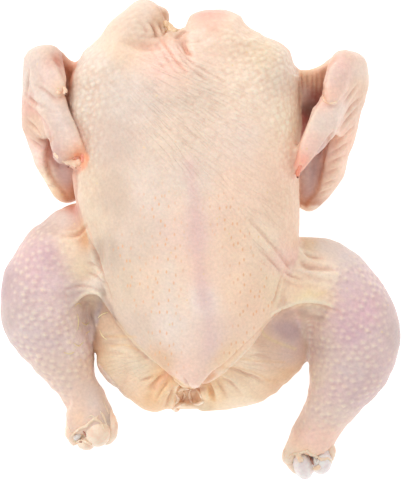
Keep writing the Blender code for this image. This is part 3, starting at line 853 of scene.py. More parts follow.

# %% [markdown]
# ## The colours of raw skin
#
# Raw skin is thin and milky, so its colour is that of what lies below: cream over fat, pink over the breast,
# mauve over the dark leg muscle and bluish where it is loose. In the hollows the skin is painted red-brown,
# which is painted shade. Each
# part has its named tints: column, row, and the colour as red, green and blue. The places were picked
# one by one. Most of the colours weren't: they were read from the photograph at those places, and corrected
# after comparing a render with it. Tints chosen by eye, and fewer of them,
# would be the better lesson.
#
# The breast is cream at its sides and pink to mauve along the keel, with bluish patches to the left.

# %% Breast tints
TINTS = {}
TINTS["body"] = {
    "neck_left_tip": (148, 8, 231, 208, 190),
    "neck_left": (135, 28, 222, 196, 176),
    "neck_base_left": (125, 50, 240, 211, 185),
    # The brown on the inner face of the left neck lump is partly the lining's own colour and partly painted
    # shade.
    "neck_lining": (165, 20, 206, 157, 120),
    "neck_notch": (176, 33, 238, 220, 176),
    "neck_pleat": (170, 30, 224, 184, 143),
    "neck_right_tip": (210, 20, 235, 167, 150),
    "neck_right": (232, 32, 251, 222, 197),
    "neck_pink": (200, 40, 243, 216, 196),
    "shoulder_right": (265, 55, 228, 205, 177),
    "shoulder_blue": (288, 70, 233, 213, 196),
    "flush_top": (165, 60, 252, 210, 194),
    "left_shoulder": (100, 75, 226, 209, 195),
    "upper_left": (115, 95, 209, 192, 179),
    "upper_blue": (135, 100, 219, 200, 186),
    "upper_mid": (190, 90, 223, 202, 184),
    "upper_right": (245, 85, 250, 226, 204),
    "side_right": (292, 125, 255, 235, 208),
    "left": (110, 140, 212, 189, 174),
    "mid": (180, 140, 237, 214, 194),
    "right": (240, 140, 247, 222, 204),
    "right_edge": (280, 150, 251, 218, 192),
    "flush_right": (290, 165, 246, 204, 180),
    "low_side_left": (86, 190, 223, 198, 172),
    "blue_left": (112, 195, 212, 188, 168),
    "mid2": (150, 190, 235, 214, 198),
    "keel_top": (188, 180, 234, 214, 198),
    "right2": (240, 190, 252, 219, 195),
    "right_edge2": (293, 200, 237, 201, 173),
    "waist_left": (95, 225, 223, 200, 175),
    "blue_waist": (108, 250, 202, 181, 162),
    "left3": (130, 240, 226, 203, 185),
    "keel2": (196, 235, 235, 203, 191),
    "right3": (235, 240, 249, 215, 188),
    "fold_right": (265, 240, 246, 220, 194),
    "right_edge3": (292, 240, 241, 204, 177),
    "pink_fold": (288, 258, 241, 200, 185),
    "left4": (125, 285, 220, 197, 174),
    "left5": (150, 280, 237, 210, 187),
    "keel_blue": (170, 290, 238, 214, 194),
    "keel3": (200, 270, 247, 213, 192),
    "keel_purple": (203, 300, 249, 230, 218),
    "right4": (235, 290, 255, 220, 192),
    "right5": (255, 300, 244, 208, 180),
    "left6": (140, 330, 217, 194, 175),
    "keel_low_blue": (172, 325, 236, 218, 205),
    "keel_low": (190, 340, 244, 218, 202),
    "keel_purple_low": (212, 340, 242, 210, 194),
    "tip": (190, 370, 246, 211, 193),
    "edge_low_left": (160, 362, 224, 185, 151),
    "edge_low_right": (225, 355, 246, 211, 176),
    "groin_web_right": (275, 290, 241, 214, 182),
}

# %% [markdown]
# The belly is the fattest part: warm cream, orange in the folds beside the vent, and pinkish inside it.

# %% Belly tints
TINTS["belly"] = {
    "left_top": (110, 335, 217, 186, 157),
    "left": (122, 350, 242, 219, 190),
    "left_edge": (102, 355, 222, 188, 152),
    "left_mid": (140, 365, 231, 212, 185),
    "left_low": (130, 385, 243, 212, 181),
    "left_red": (163, 383, 255, 205, 148),
    "left_tip": (155, 405, 240, 194, 146),
    "vent_rim": (180, 388, 246, 216, 176),
    "vent_left": (182, 399, 250, 212, 176),
    "vent_right": (197, 397, 244, 202, 166),
    "vent_mid": (190, 398, 250, 214, 180),
    "vent_lip": (200, 407, 211, 184, 142),
    "right_vent": (212, 395, 248, 210, 158),
    "right_mid": (235, 385, 247, 219, 186),
    "right_top": (245, 355, 255, 232, 206),
    "right": (270, 345, 224, 189, 164),
    "right_low": (235, 405, 248, 222, 190),
    "right_edge": (285, 380, 237, 197, 157),
    "right_groin": (290, 350, 219, 185, 169),
    # Dark brown in the fold between the left leg and the belly: painted shade.
    "groin_dark_left": (96, 340, 186, 140, 109),
}

# %% [markdown]
# Leg muscle is dark, so the thighs are mauve. The skin over the knees and the webs is thick and cream-coloured.
# The hollows of the groin are painted brown to purple, which is painted shade.

# %% Leg tints
TINTS["left_leg"] = {
    "red_spot": (73, 206, 201, 119, 96),
    "knee": (62, 218, 221, 202, 191),
    "knee_edge": (45, 222, 197, 168, 158),
    "orange": (72, 245, 244, 220, 194),
    "orange2": (85, 238, 216, 157, 106),
    "blue_crease": (97, 262, 226, 208, 188),
    "cream": (85, 270, 239, 213, 180),
    "web": (95, 287, 232, 215, 201),
    # Dark brown under the web's free edge and mauve-grey in the recess below it: painted shade.
    "web_rim": (103, 298, 111, 90, 64),
    "web_left": (78, 295, 196, 170, 166),
    "recess_top": (92, 300, 237, 213, 176),
    "recess": (105, 310, 160, 136, 144),
    "recess_dark": (112, 320, 172, 159, 165),
    "purple_a": (48, 255, 211, 175, 182),
    "purple_b": (40, 275, 223, 188, 191),
    "purple_c": (20, 290, 212, 187, 187),
    "edge_a": (8, 285, 186, 157, 159),
    "edge_b": (6, 320, 201, 180, 176),
    "outer": (25, 330, 219, 198, 195),
    "mid_a": (55, 285, 232, 204, 206),
    "mid_b": (60, 310, 234, 208, 205),
    "mid_c": (50, 340, 217, 192, 190),
    "inner_a": (78, 315, 243, 221, 210),
    "inner_b": (82, 345, 249, 230, 225),
    "inner_c": (86, 370, 235, 205, 185),
    "calf_a": (50, 365, 224, 198, 186),
    "calf_b": (65, 385, 230, 203, 189),
    "shank_a": (75, 405, 246, 211, 190),
    "shank_b": (95, 400, 235, 217, 207),
    "shank_red": (103, 395, 225, 200, 183),
    "shank_c": (70, 425, 213, 181, 164),
    "shank_d": (80, 420, 250, 211, 177),
    "cuff": (90, 420, 233, 203, 191),
    "lobe_right": (113, 425, 186, 172, 160),
}
TINTS["right_leg"] = {
    "tan": (308, 243, 238, 216, 185),
    "top": (325, 245, 223, 206, 195),
    "valley": (315, 266, 252, 220, 194),
    "ridge": (320, 274, 255, 236, 215),
    "top_edge": (350, 255, 220, 203, 198),
    "purple_a": (365, 275, 226, 199, 198),
    "purple_b": (350, 290, 224, 193, 197),
    "cream": (300, 290, 255, 215, 187),
    "web": (305, 298, 255, 235, 180),
    "web_rim": (310, 302, 252, 240, 214),
    "yellow": (318, 294, 255, 220, 185),
    "recess_a": (300, 315, 233, 178, 141),
    "recess_purple": (290, 325, 255, 228, 250),
    "recess_low": (285, 340, 255, 236, 255),
    "recess_mid": (310, 330, 234, 208, 192),
    "dark_line": (345, 315, 216, 182, 188),
    "mid_a": (365, 310, 228, 187, 195),
    "mid_b": (350, 330, 215, 178, 188),
    "edge_a": (390, 310, 214, 188, 186),
    "edge_b": (397, 335, 200, 178, 176),
    "mid_c": (375, 345, 224, 197, 196),
    "inner_a": (325, 345, 217, 194, 185),
    "inner_b": (318, 375, 233, 212, 195),
    "mid_d": (350, 365, 216, 195, 193),
    "outer": (380, 370, 217, 190, 189),
    "calf_a": (335, 390, 224, 194, 192),
    "calf_b": (360, 395, 214, 186, 185),
    "shank_a": (315, 410, 233, 208, 196),
    "shank_b": (335, 415, 229, 205, 194),
    "shank_red": (298, 425, 222, 196, 182),
    "shank_c": (310, 440, 255, 212, 198),
    "shank_d": (328, 440, 245, 205, 187),
    "cuff": (305, 450, 255, 213, 183),
    "lobe_left": (286, 455, 236, 218, 198),
}

# %% [markdown]
# The wings are pink where the bone is near and red at the tips of the hands. Their hollows are painted brown,
# dark red and nearly black, which is painted shade.

# %% Wing tints
TINTS["left_wing"] = {
    "top": (50, 50, 218, 195, 177),
    "top_left": (33, 60, 219, 198, 186),
    "thumb": (52, 75, 226, 200, 189),
    "thumb_tip": (64, 90, 253, 212, 186),
    "arm_a": (30, 80, 216, 197, 185),
    "arm_b": (30, 110, 227, 178, 165),
    "hand_a": (45, 100, 216, 200, 190),
    "hand_b": (60, 115, 215, 193, 183),
    "hand_c": (65, 140, 222, 196, 183),
    "hand_blue": (62, 125, 210, 188, 177),
    "hand_tip_red": (82, 158, 250, 164, 118),
    "hand_tip_orange": (60, 158, 217, 167, 143),
    "arm_c": (38, 130, 222, 184, 156),
    "arm_d": (40, 155, 255, 222, 207),
    "arm_e": (50, 180, 255, 236, 203),
    "arm_f": (60, 195, 243, 211, 169),
    "arm_pink": (35, 118, 211, 180, 153),
    # In the hollow of the forearm these tints are partly the purple of the wing's own skin and partly painted
    # shade.
    "recess_a": (52, 150, 201, 117, 111),
    "recess_b": (60, 175, 198, 149, 139),
    "recess_c": (68, 190, 193, 105, 76),
    # The red-brown to warm orange tints of the web below the thumb, and of the hollow between the hand and the
    # breast, are painted shade.
    "web_a": (60, 60, 178, 72, 40),
    "web_b": (68, 75, 255, 194, 160),
    "dark": (67, 97, 255, 214, 186),
}
TINTS["right_wing"] = {
    "top": (352, 56, 235, 199, 180),
    "top_edge": (362, 70, 241, 219, 202),
    "thumb": (335, 75, 226, 194, 184),
    "thumb_pink": (342, 65, 239, 194, 184),
    "thumb_tip": (330, 100, 249, 197, 176),
    "arm_a": (358, 90, 239, 204, 179),
    "arm_b": (355, 115, 235, 199, 177),
    "arm_c": (345, 140, 255, 209, 185),
    "arm_d": (338, 165, 255, 217, 193),
    "arm_e": (325, 188, 255, 224, 200),
    "arm_f": (312, 205, 191, 129, 99),
    "hand_a": (335, 110, 247, 228, 217),
    "hand_b": (320, 125, 238, 218, 204),
    "hand_c": (312, 145, 244, 203, 188),
    "hand_tip": (299, 165, 255, 173, 150),
    "recess_a": (325, 150, 250, 220, 209),
    # In the hollow of the forearm these tints are partly the purple of the wing's own skin and partly painted
    # shade.
    "recess_b": (312, 175, 197, 162, 154),
    "recess_c": (308, 190, 195, 134, 116),
    # The web between the thumb and the shoulder is orange at its top and dark red to nearly black in its
    # hollow: painted shade.
    "web_a": (305, 75, 252, 208, 170),
    "web_b": (318, 80, 255, 208, 176),
    "web_dark": (315, 95, 156, 47, 39),
    "shoulder": (302, 95, 255, 236, 224),
    "shoulder_b": (303, 120, 190, 96, 91),
    "dark": (310, 108, 59, 20, 19),
}
print("named tints:", {name: len(rows) for name, rows in TINTS.items()})

# %% [markdown]
# Between the named tints the colour flows from one to the next. Each point takes a mean of its part's
# tints, and the near ones count most. A picture wrapped round the bird would be quicker, but it would
# only look right from one side.

# %% Blend the tints
TINT_EVEN = 6.0


def linear(colour):
    """A display colour of 0 to 255 as the linear light that a material wants."""
    share = np.asarray(colour, float) / 255
    return np.where(share <= 0.04045, share / 12.92, ((share + 0.055) / 1.055) ** 2.4)


def part_tint(name):
    """Colours for every point of a part, nearest named tints counting most."""
    chosen = parts[name]
    total, colour = np.zeros((chosen.sum(), 1)), np.zeros((chosen.sum(), 3))
    for column, row, *shade in TINTS[name].values():
        near = points[chosen] - spot(column, row)
        near[:, 2] *= 0.5
        weight = 1 / ((near**2).sum(axis=1) + TINT_EVEN**2)[:, None] ** 2
        total += weight
        colour += weight * linear(shade)
    return colour / total


parts = part_masks()
normals = read_normals()
tint = np.zeros((len(points), 3))
for name in TINTS:
    tint[parts[name]] = part_tint(name)
tint = evened(tint, 2)
print("mean tint", np.round(tint.mean(axis=0), 2))

# %% [markdown]
# ## Hollows and bumps
#
# The skin is painted darker where it is hollow, which is painted shade, and paler where it stretches over a
# bump, which is painted light. The tops of the follicles are cream, partly their own colour and partly a
# painted highlight, and their side away from the lamp is painted mauve on the legs and brown on the breast, as
# painted shade. The right groin has a purple patch of its own, where the muscle shows through.

# %% Shade the hollows and bumps
HOLLOW_MOST = 4


def paint(shade, amount):
    """Blends a display colour into the tints, by an amount from 0 to 1 for each point."""
    share = np.clip(amount, 0, 1)[:, None]
    tint[:] = tint * (1 - share) + linear(shade) * share


hollow = evened(np.einsum("ij,ij->i", near_mean(points) - points, normals)[:, None], 2)
hollow = hollow[:, 0] / hollow.std()
# Painted shade in the hollows, and painted light where the skin is rounded outwards.
paint((196, 128, 104), 0.10 * np.clip(hollow, 0, HOLLOW_MOST))
paint((252, 232, 206), 0.07 * np.clip(-hollow, 0, HOLLOW_MOST))
on_legs = (parts["left_leg"] | parts["right_leg"]).astype(float)
# On the legs: follicle tops partly their own cream and partly a painted highlight, and painted shade on their
# side away from the lamp.
paint((250, 234, 206), 0.5 * bump * on_legs)
paint((188, 150, 162), 0.38 * bump_shade * on_legs)
groin = (parts["belly"] | parts["right_leg"]).astype(float)
purple_patch = np.clip(disc(280, 327, 11, 9) + disc(294, 334, 11, 13), 0, 1)
paint((176, 150, 160), 0.6 * purple_patch * groin)
plain = 1 - on_legs - 0.7 * (parts["left_wing"] | parts["right_wing"])
# On the breast, the belly and, faintly, the wings: follicle tops partly their own cream and partly a painted
# highlight, and painted shade on their side away from the lamp.
paint((255, 238, 210), 0.35 * bump * plain)
paint((222, 172, 146), 0.25 * bump_shade * plain)
print("the deepest hollow counts", round(float(hollow.max()), 1))

# %% [markdown]
# ## Painted lines
#
# Thin marks follow the folds: cream fat along the free edges of the webs, orange beside the vent and mauve
# along the keel. Brown in the deep creases, under free edges and in the gaps between parts is painted shade.
# The purple-brown in the hollows of the wings is partly the wing skin's own colour and partly painted shade.
# Each line has a colour, its strength, its width and its path.

# %% Painted lines
MARK_LINES = [
    ((252, 228, 206), 0.6, 1.8, [(291, 268), (303, 271), (318, 273), (335, 275)]),
    # Tan-brown where the right leg meets the belly: painted shade.
    ((214, 190, 166), 0.6, 2.2, [(304, 312), (304, 330), (308, 350)]),
    ((226, 200, 150), 0.6, 1.0, [(262, 330), (266, 336), (280, 343), (296, 349)]),
    # Brown on the inner face of the left neck lump: partly the lining's own colour, partly painted shade.
    ((204, 150, 116), 0.5, 2.2, [(158, 8), (162, 14), (166, 20), (169, 25)]),
    ((226, 180, 126), 0.7, 1.6, [(166, 29), (171, 30), (177, 31)]),
    # Brown and pink-brown in the creases at the neck: painted shade.
    ((176, 116, 84), 0.6, 0.8, [(164, 37), (167, 34), (172, 32)]),
    ((204, 150, 118), 0.6, 0.9, [(154, 30), (155, 33), (157, 37)]),
    ((240, 176, 146), 0.5, 1.0, [(162, 42), (168, 50), (175, 60), (181, 67), (187, 74)]),
    ((236, 168, 142), 0.5, 1.0, [(184, 46), (186, 51), (188, 55), (192, 57)]),
    ((238, 176, 150), 0.5, 0.9, [(172, 40), (178, 43), (184, 39), (189, 34)]),
    ((250, 212, 190), 0.4, 5.0, [(200, 24), (214, 22), (226, 25)]),
    ((250, 220, 196), 0.4, 5.0, [(178, 200), (180, 240), (182, 280), (186, 310)]),
    ((250, 218, 194), 0.4, 5.0, [(212, 200), (215, 240), (219, 280), (222, 310)]),
    ((230, 190, 186), 0.5, 4.0, [(190, 165), (195, 200), (197, 240), (200, 270), (204, 300)]),
    ((230, 194, 190), 0.3, 5.0, [(203, 285), (207, 310), (210, 335), (208, 350)]),
    # Purple-brown in the hollow of the right wing: partly the wing skin's own colour, partly painted shade.
    # Brown along the forearm's inner edge, where the skin drops into the hollow: painted shade.
    ((196, 168, 168), 0.5, 5.0, [(322, 148), (316, 165), (313, 180), (309, 192)]),
    (
        (196, 132, 102), 0.7, 1.3,
        [(329, 139), (325, 150), (325, 161), (322, 178), (319, 191), (311, 199), (307, 206)],
    ),
    # Purple-brown in the hollow of the left wing: partly the wing skin's own colour, partly painted shade.
    # Brown along the forearm's inner edge, where the skin drops into the hollow: painted shade.
    ((196, 168, 168), 0.5, 5.0, [(57, 150), (60, 165), (66, 180)]),
    ((206, 140, 104), 0.45, 1.3, [(54, 139), (49, 148), (48, 163), (53, 179), (60, 188), (67, 195)]),
    ((228, 202, 196), 0.4, 5.0, [(206, 300), (212, 325), (214, 345), (206, 358)]),
    ((238, 220, 206), 0.4, 5.0, [(168, 265), (170, 290), (172, 320), (178, 345)]),
    ((252, 206, 182), 0.35, 7.0, [(145, 52), (160, 60), (175, 70), (186, 84)]),
    ((247, 232, 206), 0.8, 1.3, [(79, 300), (86, 294), (92, 292), (99, 294), (106, 301), (112, 312)]),
    ((247, 232, 204), 0.8, 1.3, [(272, 314), (280, 309), (290, 305), (303, 301), (318, 302), (331, 305)]),
    # Mauve-brown under the free edges of the webs: painted shade.
    ((176, 144, 140), 0.4, 1.8, [(85, 305), (92, 301), (100, 304), (107, 313)]),
    ((182, 148, 146), 0.35, 2.0, [(285, 315), (297, 310), (310, 308), (325, 310)]),
    ((238, 196, 140), 0.5, 0.8, [(110, 336), (124, 336), (137, 336)]),
    ((240, 208, 146), 0.3, 1.6, [(309, 292), (316, 295), (324, 292)]),
    ((244, 178, 150), 0.5, 2.2, [(170, 372), (163, 380), (156, 387)]),
    ((232, 176, 120), 0.5, 1.4, [(210, 383), (212, 392), (214, 400)]),
    # Dark brown in the gap between the left hand and the breast: painted shade.
    ((150, 90, 74), 0.35, 1.0, [(67, 96), (71, 110), (77, 124), (82, 138)]),
    ((232, 180, 168), 0.35, 2.0, [(33, 108), (41, 116), (47, 124), (52, 133)]),
    ((232, 182, 150), 0.5, 1.2, [(88, 226), (92, 236), (94, 248)]),
    # Brown in the gap between the left drumstick and the belly, and orange-brown to brown just under the lip of
    # the keel tip: painted shade.
    ((214, 150, 120), 0.5, 1.6, [(100, 380), (104, 392), (110, 404)]),
    ((222, 160, 110), 0.7, 2.4, [(203, 386), (208, 379), (214, 374)]),
    ((186, 124, 94), 0.6, 2.0, [(190, 391), (197, 390), (203, 388)]),
    # Grey-brown in the hollow under the left arch, dark brown in the fold between the left leg and the belly,
    # orange-brown along the right thumb's edge at the top of the web, brown in the gap between the left wing
    # and the breast, and brown under the right arch: painted shade.
    ((166, 138, 130), 0.7, 2.6, [(104, 299), (110, 306), (116, 318)]),
    ((140, 104, 88), 0.6, 2.4, [(92, 316), (95, 326), (95, 338)]),
    ((226, 172, 140), 0.6, 2.6, [(333, 60), (329, 66), (325, 74)]),
    ((200, 152, 130), 0.6, 2.2, [(77, 172), (78, 184), (77, 196)]),
    ((170, 134, 124), 0.5, 3.0, [(302, 313), (312, 316), (322, 318)]),
    ((230, 178, 120), 0.45, 0.8, [(222, 366), (240, 368), (258, 374), (270, 381)]),
    ((230, 178, 120), 0.4, 0.7, [(240, 358), (262, 361), (285, 362)]),
    ((230, 178, 120), 0.4, 0.7, [(112, 346), (126, 345), (140, 350)]),
]


def beside(path, width):
    """How near each point lies to a path laid on the skin, 1 on the path."""
    amount, line = np.zeros(len(points)), laid(plan(*path))
    if not len(line):
        print("no skin below", path[0])
        return amount
    near, gap, _ = along(points, line, 3 * width)
    amount[near] = np.exp(-((gap / width) ** 2))
    return amount


for shade, amount, width, path in MARK_LINES:
    paint(shade, amount * beside(path, width))
print(len(MARK_LINES), "painted lines")

# %% [markdown]
# ## Numbers for the material
#
# The material has to know where to draw what. So each point of the skin carries its tint, how lined,
# pricked and pebbled the skin is there, and its place across and along the fan of wrinkles.

# %% Numbers for the material
def put_attribute(name, kind, values):
    layer = skin.data.attributes.new(name, kind, "POINT")
    field = {"FLOAT_COLOR": "color", "FLOAT_VECTOR": "vector"}.get(kind, "value")
    layer.data.foreach_set(field, np.ascontiguousarray(values).ravel())


LINED = [
    (195, 100, 62, 42, 0.9), (185, 150, 62, 45, 0.8), (245, 200, 45, 66, 0.7), (268, 245, 22, 45, 0.8),
    (165, 62, 34, 20, 0.6), (120, 250, 22, 60, 0.3),
]
PRICKED = [
    [(158, 205), (168, 240), (166, 290), (163, 330), (168, 368)],
    [(222, 210), (236, 240), (247, 275), (248, 305), (244, 335), (234, 350)],
    [(126, 250), (134, 290)], [(262, 290), (270, 310)],
]
PRICK_REACH = 11
LINE_ACROSS, LINE_ALONG = 2.6, 20
BELLY_FAN_WIDE = 45

lined = sum(amount * disc(column, row, across, down) for column, row, across, down, amount in LINED)
lined *= parts["body"]
lined += 0.95 * parts["belly"] * (disc(255, 365, 45, 26) + disc(125, 362, 34, 32))
across_fan, along_fan = (
    np.where(parts["belly"], on_belly, on_breast)
    for on_belly, on_breast in zip(fan_numbers(BELLY_FAN_MIDDLE, BELLY_FAN_WIDE), fan_numbers(FAN_MIDDLE))
)
fan = np.column_stack([across_fan / LINE_ACROSS, along_fan / LINE_ALONG, np.zeros(len(points))])
pricked = sum(beside(path, PRICK_REACH) for path in PRICKED)
put_attribute("tint", "FLOAT_COLOR", np.column_stack([tint, np.ones(len(tint))]))
put_attribute("lined", "FLOAT", np.clip(lined, 0, 1))
put_attribute("fan", "FLOAT_VECTOR", fan)
put_attribute("pricked", "FLOAT", np.clip(pricked, 0, 1))
put_attribute("pebbled", "FLOAT", np.clip(pebbles, 0, 1) * parts["body"])
print("numbers on the skin:", [layer.name for layer in skin.data.attributes if not layer.is_internal])

# %% [markdown]
# ## Joining nodes
#
# A material is a set of nodes joined by wires. To add each by hand takes many lines, so this class adds
# a node, sets its values and joins it in one short call. Sizes are given in millimetres.

# %% A short way to join nodes
class Graph:
    """A short way to add nodes to a material and join them."""

    def __init__(self, material):
        self.tree = material.node_tree
        self.surface = self.tree.nodes["Principled BSDF"]

    def add(self, kind, **values):
        node = self.tree.nodes.new("ShaderNode" + kind)
        for key, value in values.items():
            setattr(node, key, value)
        return node

    def give(self, socket, value):
        """Joins another node's output to a socket, or sets a plain value on it."""
        if hasattr(value, "is_linked"):
            self.tree.links.new(value, socket)
        else:
            socket.default_value = value

    def set(self, node, **values):
        for key, value in values.items():
            self.give(node.inputs[key.replace("_", " ")], value)
        return node

    def carried(self, name, output):
        """A number, colour or place that each point of the skin carries."""
        return self.add("Attribute", attribute_name=name).outputs[output]

    def noise(self, scale, detail=3, turn=0.0):
        """Noise whose features are scale millimetres wide, turned in plan."""
        place = self.add("TexCoord").outputs["Object"]
        spin = self.add("Mapping", vector_type="TEXTURE")
        self.set(spin, Vector=place, Rotation=(0, 0, math.radians(turn)))
        texture = self.add("TexNoise")
        return self.set(texture, Vector=spin.outputs["Vector"], Scale=1 / (scale * MM), Detail=detail)

    def window(self, value, low, high, to_low, to_high):
        """Maps the values from low to high onto another range, and holds them outside it."""
        node = self.add("MapRange")
        for socket, number in zip(node.inputs[:5], (value, low, high, to_low, to_high)):
            self.give(socket, number)
        return node.outputs["Result"]

    def combine(self, operation, *values):
        """One sum, product or difference of the values."""
        node = self.add("Math", operation=operation)
        for socket, value in zip(node.inputs, values):
            self.give(socket, value)
        return node.outputs[0]

    def multiply(self, first, second):
        return self.combine("MULTIPLY", first, second)

    def blend(self, base, shade, amount, way="MIX"):
        """Mixes a colour into another by an amount."""
        node = self.add("Mix", data_type="RGBA", blend_type=way)
        for socket, value in zip((node.inputs[0], node.inputs[6], node.inputs[7]), (amount, base, shade)):
            self.give(socket, value)
        return node.outputs[2]

    def bump(self, height, depth, onto=None):
        """Tilts the surface as if it were raised by depth millimetres where height is 1."""
        node = self.add("Bump")
        self.set(node, Strength=1.0, Distance=depth * MM, Height=height)
        if onto is not None:
            self.set(node, Normal=onto)
        return node.outputs["Normal"]


print("nodes can be joined")

# %% [markdown]
# ## Under the skin
#
# What is too fine for the mesh is drawn by the material: soft pink and cool blotches, an even finer
# mottling, and sparse tiny grains of yellow fat that show through.

# %% Blotches and fat
FLESH_PINK, COOL_GREY, FAT_YELLOW = (0.90, 0.60, 0.46, 1), (0.82, 0.71, 0.60, 1), (0.86, 0.60, 0.24, 1)
FAT_APART = 6.5


def mottled(g, base):
    """Soft blotches and a fine uneven tone."""
    blotch = g.window(g.noise(13).outputs["Fac"], 0.35, 0.65, 0.0, 1.0)
    pinker = g.blend(base, FLESH_PINK, g.multiply(blotch, 0.10))
    cooler = g.window(g.noise(7, turn=40).outputs["Fac"], 0.5, 0.72, 0.0, 0.06)
    fine = g.window(g.noise(1.7).outputs["Fac"], 0.3, 0.7, 0.94, 1.06)
    grey = g.add("CombineColor")
    for socket in grey.inputs[:3]:
        g.give(socket, fine)
    return g.blend(g.blend(pinker, COOL_GREY, cooler), grey.outputs[0], 1.0, "MULTIPLY")


def fat_grains(g, base, place):
    """Sparse grains of fat under the skin."""
    fat = g.add("TexVoronoi", feature="F1")
    g.set(fat, Vector=place, Scale=1 / (FAT_APART * MM), Randomness=1.0)
    grains = g.window(fat.outputs["Distance"], 0.05, 0.13, 0.55, 0.0)
    sparse = g.window(g.noise(9, 1).outputs["Fac"], 0.52, 0.6, 0.0, 1.0)
    return g.blend(base, FAT_YELLOW, g.multiply(grains, sparse))


print("grains of fat are", FAT_APART, "mm apart")

# %% [markdown]
# ## On the skin
#
# Hair-fine creases run along the fan: they lie where a drawn-out noise crosses its middle value, as the lines
# of a map do. The cobbles on the shoulders and the small pricks where a feather was pulled out come from cell
# patterns, whose distance to the nearest cell's middle makes a round spot. The creases and the gaps between
# cobbles are painted brown, which is painted shade, and the tops of the cobbles are paler, partly their own
# tint and partly painted light.

# %% Creases, cobbles and pricks
# Painted shade for the creases and the gaps between cobbles, and a paler cobble top, partly its own tint and
# partly painted light.
CREASE_SHADE, COBBLE_GAP_SHADE, COBBLE_TOP_TINT_AND_LIGHT = (0.66, 0.38, 0.28, 1), (0.72, 0.44, 0.28, 1), (1.0, 0.86, 0.66, 1)
PRICK_ORANGE = (0.84, 0.44, 0.22, 1)
COBBLE_SIZE, PRICK_APART = 3.5, 4.2


def fine_creases(g, fan, lined):
    """Noise drawn out along the fan, and how near each place is to one of its middle lines."""
    flow = g.set(g.add("TexNoise"), Vector=fan, Scale=1.0, Detail=1.5).outputs["Fac"]
    gap = g.combine("ABSOLUTE", g.combine("SUBTRACT", flow, 0.5))
    return flow, g.multiply(g.window(gap, 0.0, 0.06, 1.0, 0.0), lined)


def cobbles(g, place):
    """How far each place is up a cobble, and how deep between two."""
    cobble = g.add("TexVoronoi", feature="SMOOTH_F1")
    tilted = g.add("Mapping", vector_type="TEXTURE")
    g.set(tilted, Vector=place, Rotation=(0, 0, 0.5), Scale=(1.25, 0.9, 1))
    g.set(cobble, Vector=tilted.outputs["Vector"], Scale=1 / (COBBLE_SIZE * MM), Randomness=0.5, Smoothness=0.3)
    away = cobble.outputs["Distance"]
    return g.window(away, 0.1, 0.62, 1.0, 0.0), g.window(away, 0.42, 0.7, 0.0, 0.3)


def pricks(g, place, pricked):
    """Small upright dashes where feathers were."""
    follicle = g.add("TexVoronoi", feature="F1", voronoi_dimensions="2D")
    apart = g.add("Mapping", vector_type="TEXTURE")
    g.set(apart, Vector=place, Scale=(1, 1.9, 1))
    g.set(follicle, Vector=apart.outputs["Vector"], Scale=1 / (PRICK_APART * MM), Randomness=0.8)
    return g.multiply(g.window(follicle.outputs["Distance"], 0.07, 0.17, 1.0, 0.0), pricked)


print("cobbles of", COBBLE_SIZE, "mm")

# %% [markdown]
# ## The skin's material
#
# All of it comes together over the tints. Light goes a little way into raw skin, so it scatters below
# the surface, and a thin wet coat gives it a soft, uneven sheen. The creases, cobbles and pores also
# tilt the surface a little, as bumps, because they are finer than the mesh.

# %% Skin material
def raw_skin_material():
    made = plain_material("raw_skin", (0.8, 0.62, 0.5), 0.42)
    g = Graph(made)
    place = g.add("TexCoord").outputs["Object"]
    lined, pricked, pebbled = (g.carried(name, "Fac") for name in ("lined", "pricked", "pebbled"))
    flow, crease = fine_creases(g, g.carried("fan", "Vector"), lined)
    rise, between = cobbles(g, place)
    flesh = fat_grains(g, mottled(g, g.carried("tint", "Color")), place)
    # Painted shade along the fine creases and between the cobbles; the cobble tops are paler, partly their own
    # tint and partly painted light.
    crease_shaded = g.blend(flesh, CREASE_SHADE, g.multiply(crease, 0.13))
    cobble_gaps_shaded = g.blend(crease_shaded, COBBLE_GAP_SHADE, g.multiply(between, pebbled))
    cobbled = g.blend(cobble_gaps_shaded, COBBLE_TOP_TINT_AND_LIGHT, g.multiply(g.multiply(rise, 0.28), pebbled))
    dotted = g.blend(cobbled, PRICK_ORANGE, g.multiply(pricks(g, place, pricked), 0.75))
    wet = g.window(g.noise(5).outputs["Fac"], 0.3, 0.7, 0.36, 0.56)
    folded = g.combine("SUBTRACT", g.multiply(flow, g.multiply(lined, 1.2)), crease)
    wrinkled = g.bump(g.multiply(rise, pebbled), 0.38, g.bump(folded, 0.2))
    pores = g.bump(g.noise(0.9).outputs["Fac"], 0.12, wrinkled)
    g.set(g.surface, Base_Color=dotted, Roughness=wet, Normal=pores)
    g.set(g.surface, Subsurface_Weight=0.12, Subsurface_Radius=(1.0, 0.35, 0.2), Subsurface_Scale=0.002)
    g.set(g.surface, Coat_Weight=0.12, Coat_Roughness=0.28, Specular_IOR_Level=0.35)
    return made


skin.data.materials.append(raw_skin_material())
print("the skin's material has", len(skin.data.materials[0].node_tree.nodes), "nodes")

# %% [markdown]
# ## The hidden back
#
# The back lies on the table and has no fine folds, so its squares can be larger. A decimate modifier
# melts them together there alone, which keeps the whole skin under 200,000 triangles.

# %% Lighten the hidden back
BACK_SHARE = 0.66
BACK_STEPS = 10
BACK_PULL = 8

back = skin.vertex_groups.new(name="back")
lowered = np.clip(-normals[:, 2] * 2.2 + 0.25, 0, 1)
for level in range(1, BACK_STEPS + 1):
    chosen = np.flatnonzero((lowered * BACK_STEPS).round() == level)
    back.add([int(i) for i in chosen], level / BACK_STEPS, "REPLACE")
lighten = skin.modifiers.new("lighten", "DECIMATE")
lighten.ratio = BACK_SHARE
lighten.vertex_group = "back"
lighten.vertex_group_factor = BACK_PULL
apply_modifiers(skin)
skin.data.calc_loop_triangles()
print("the skin now has", len(skin.data.loop_triangles), "triangles")
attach(skin, "root")
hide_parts("chicken")

# %% [markdown]
# ## Wet gristle
#
# Knuckles, tendons and torn edges of skin are all wet gristle: milky, glossy, with a faint stain
# where blood has soaked in. One material with two colours serves them all.

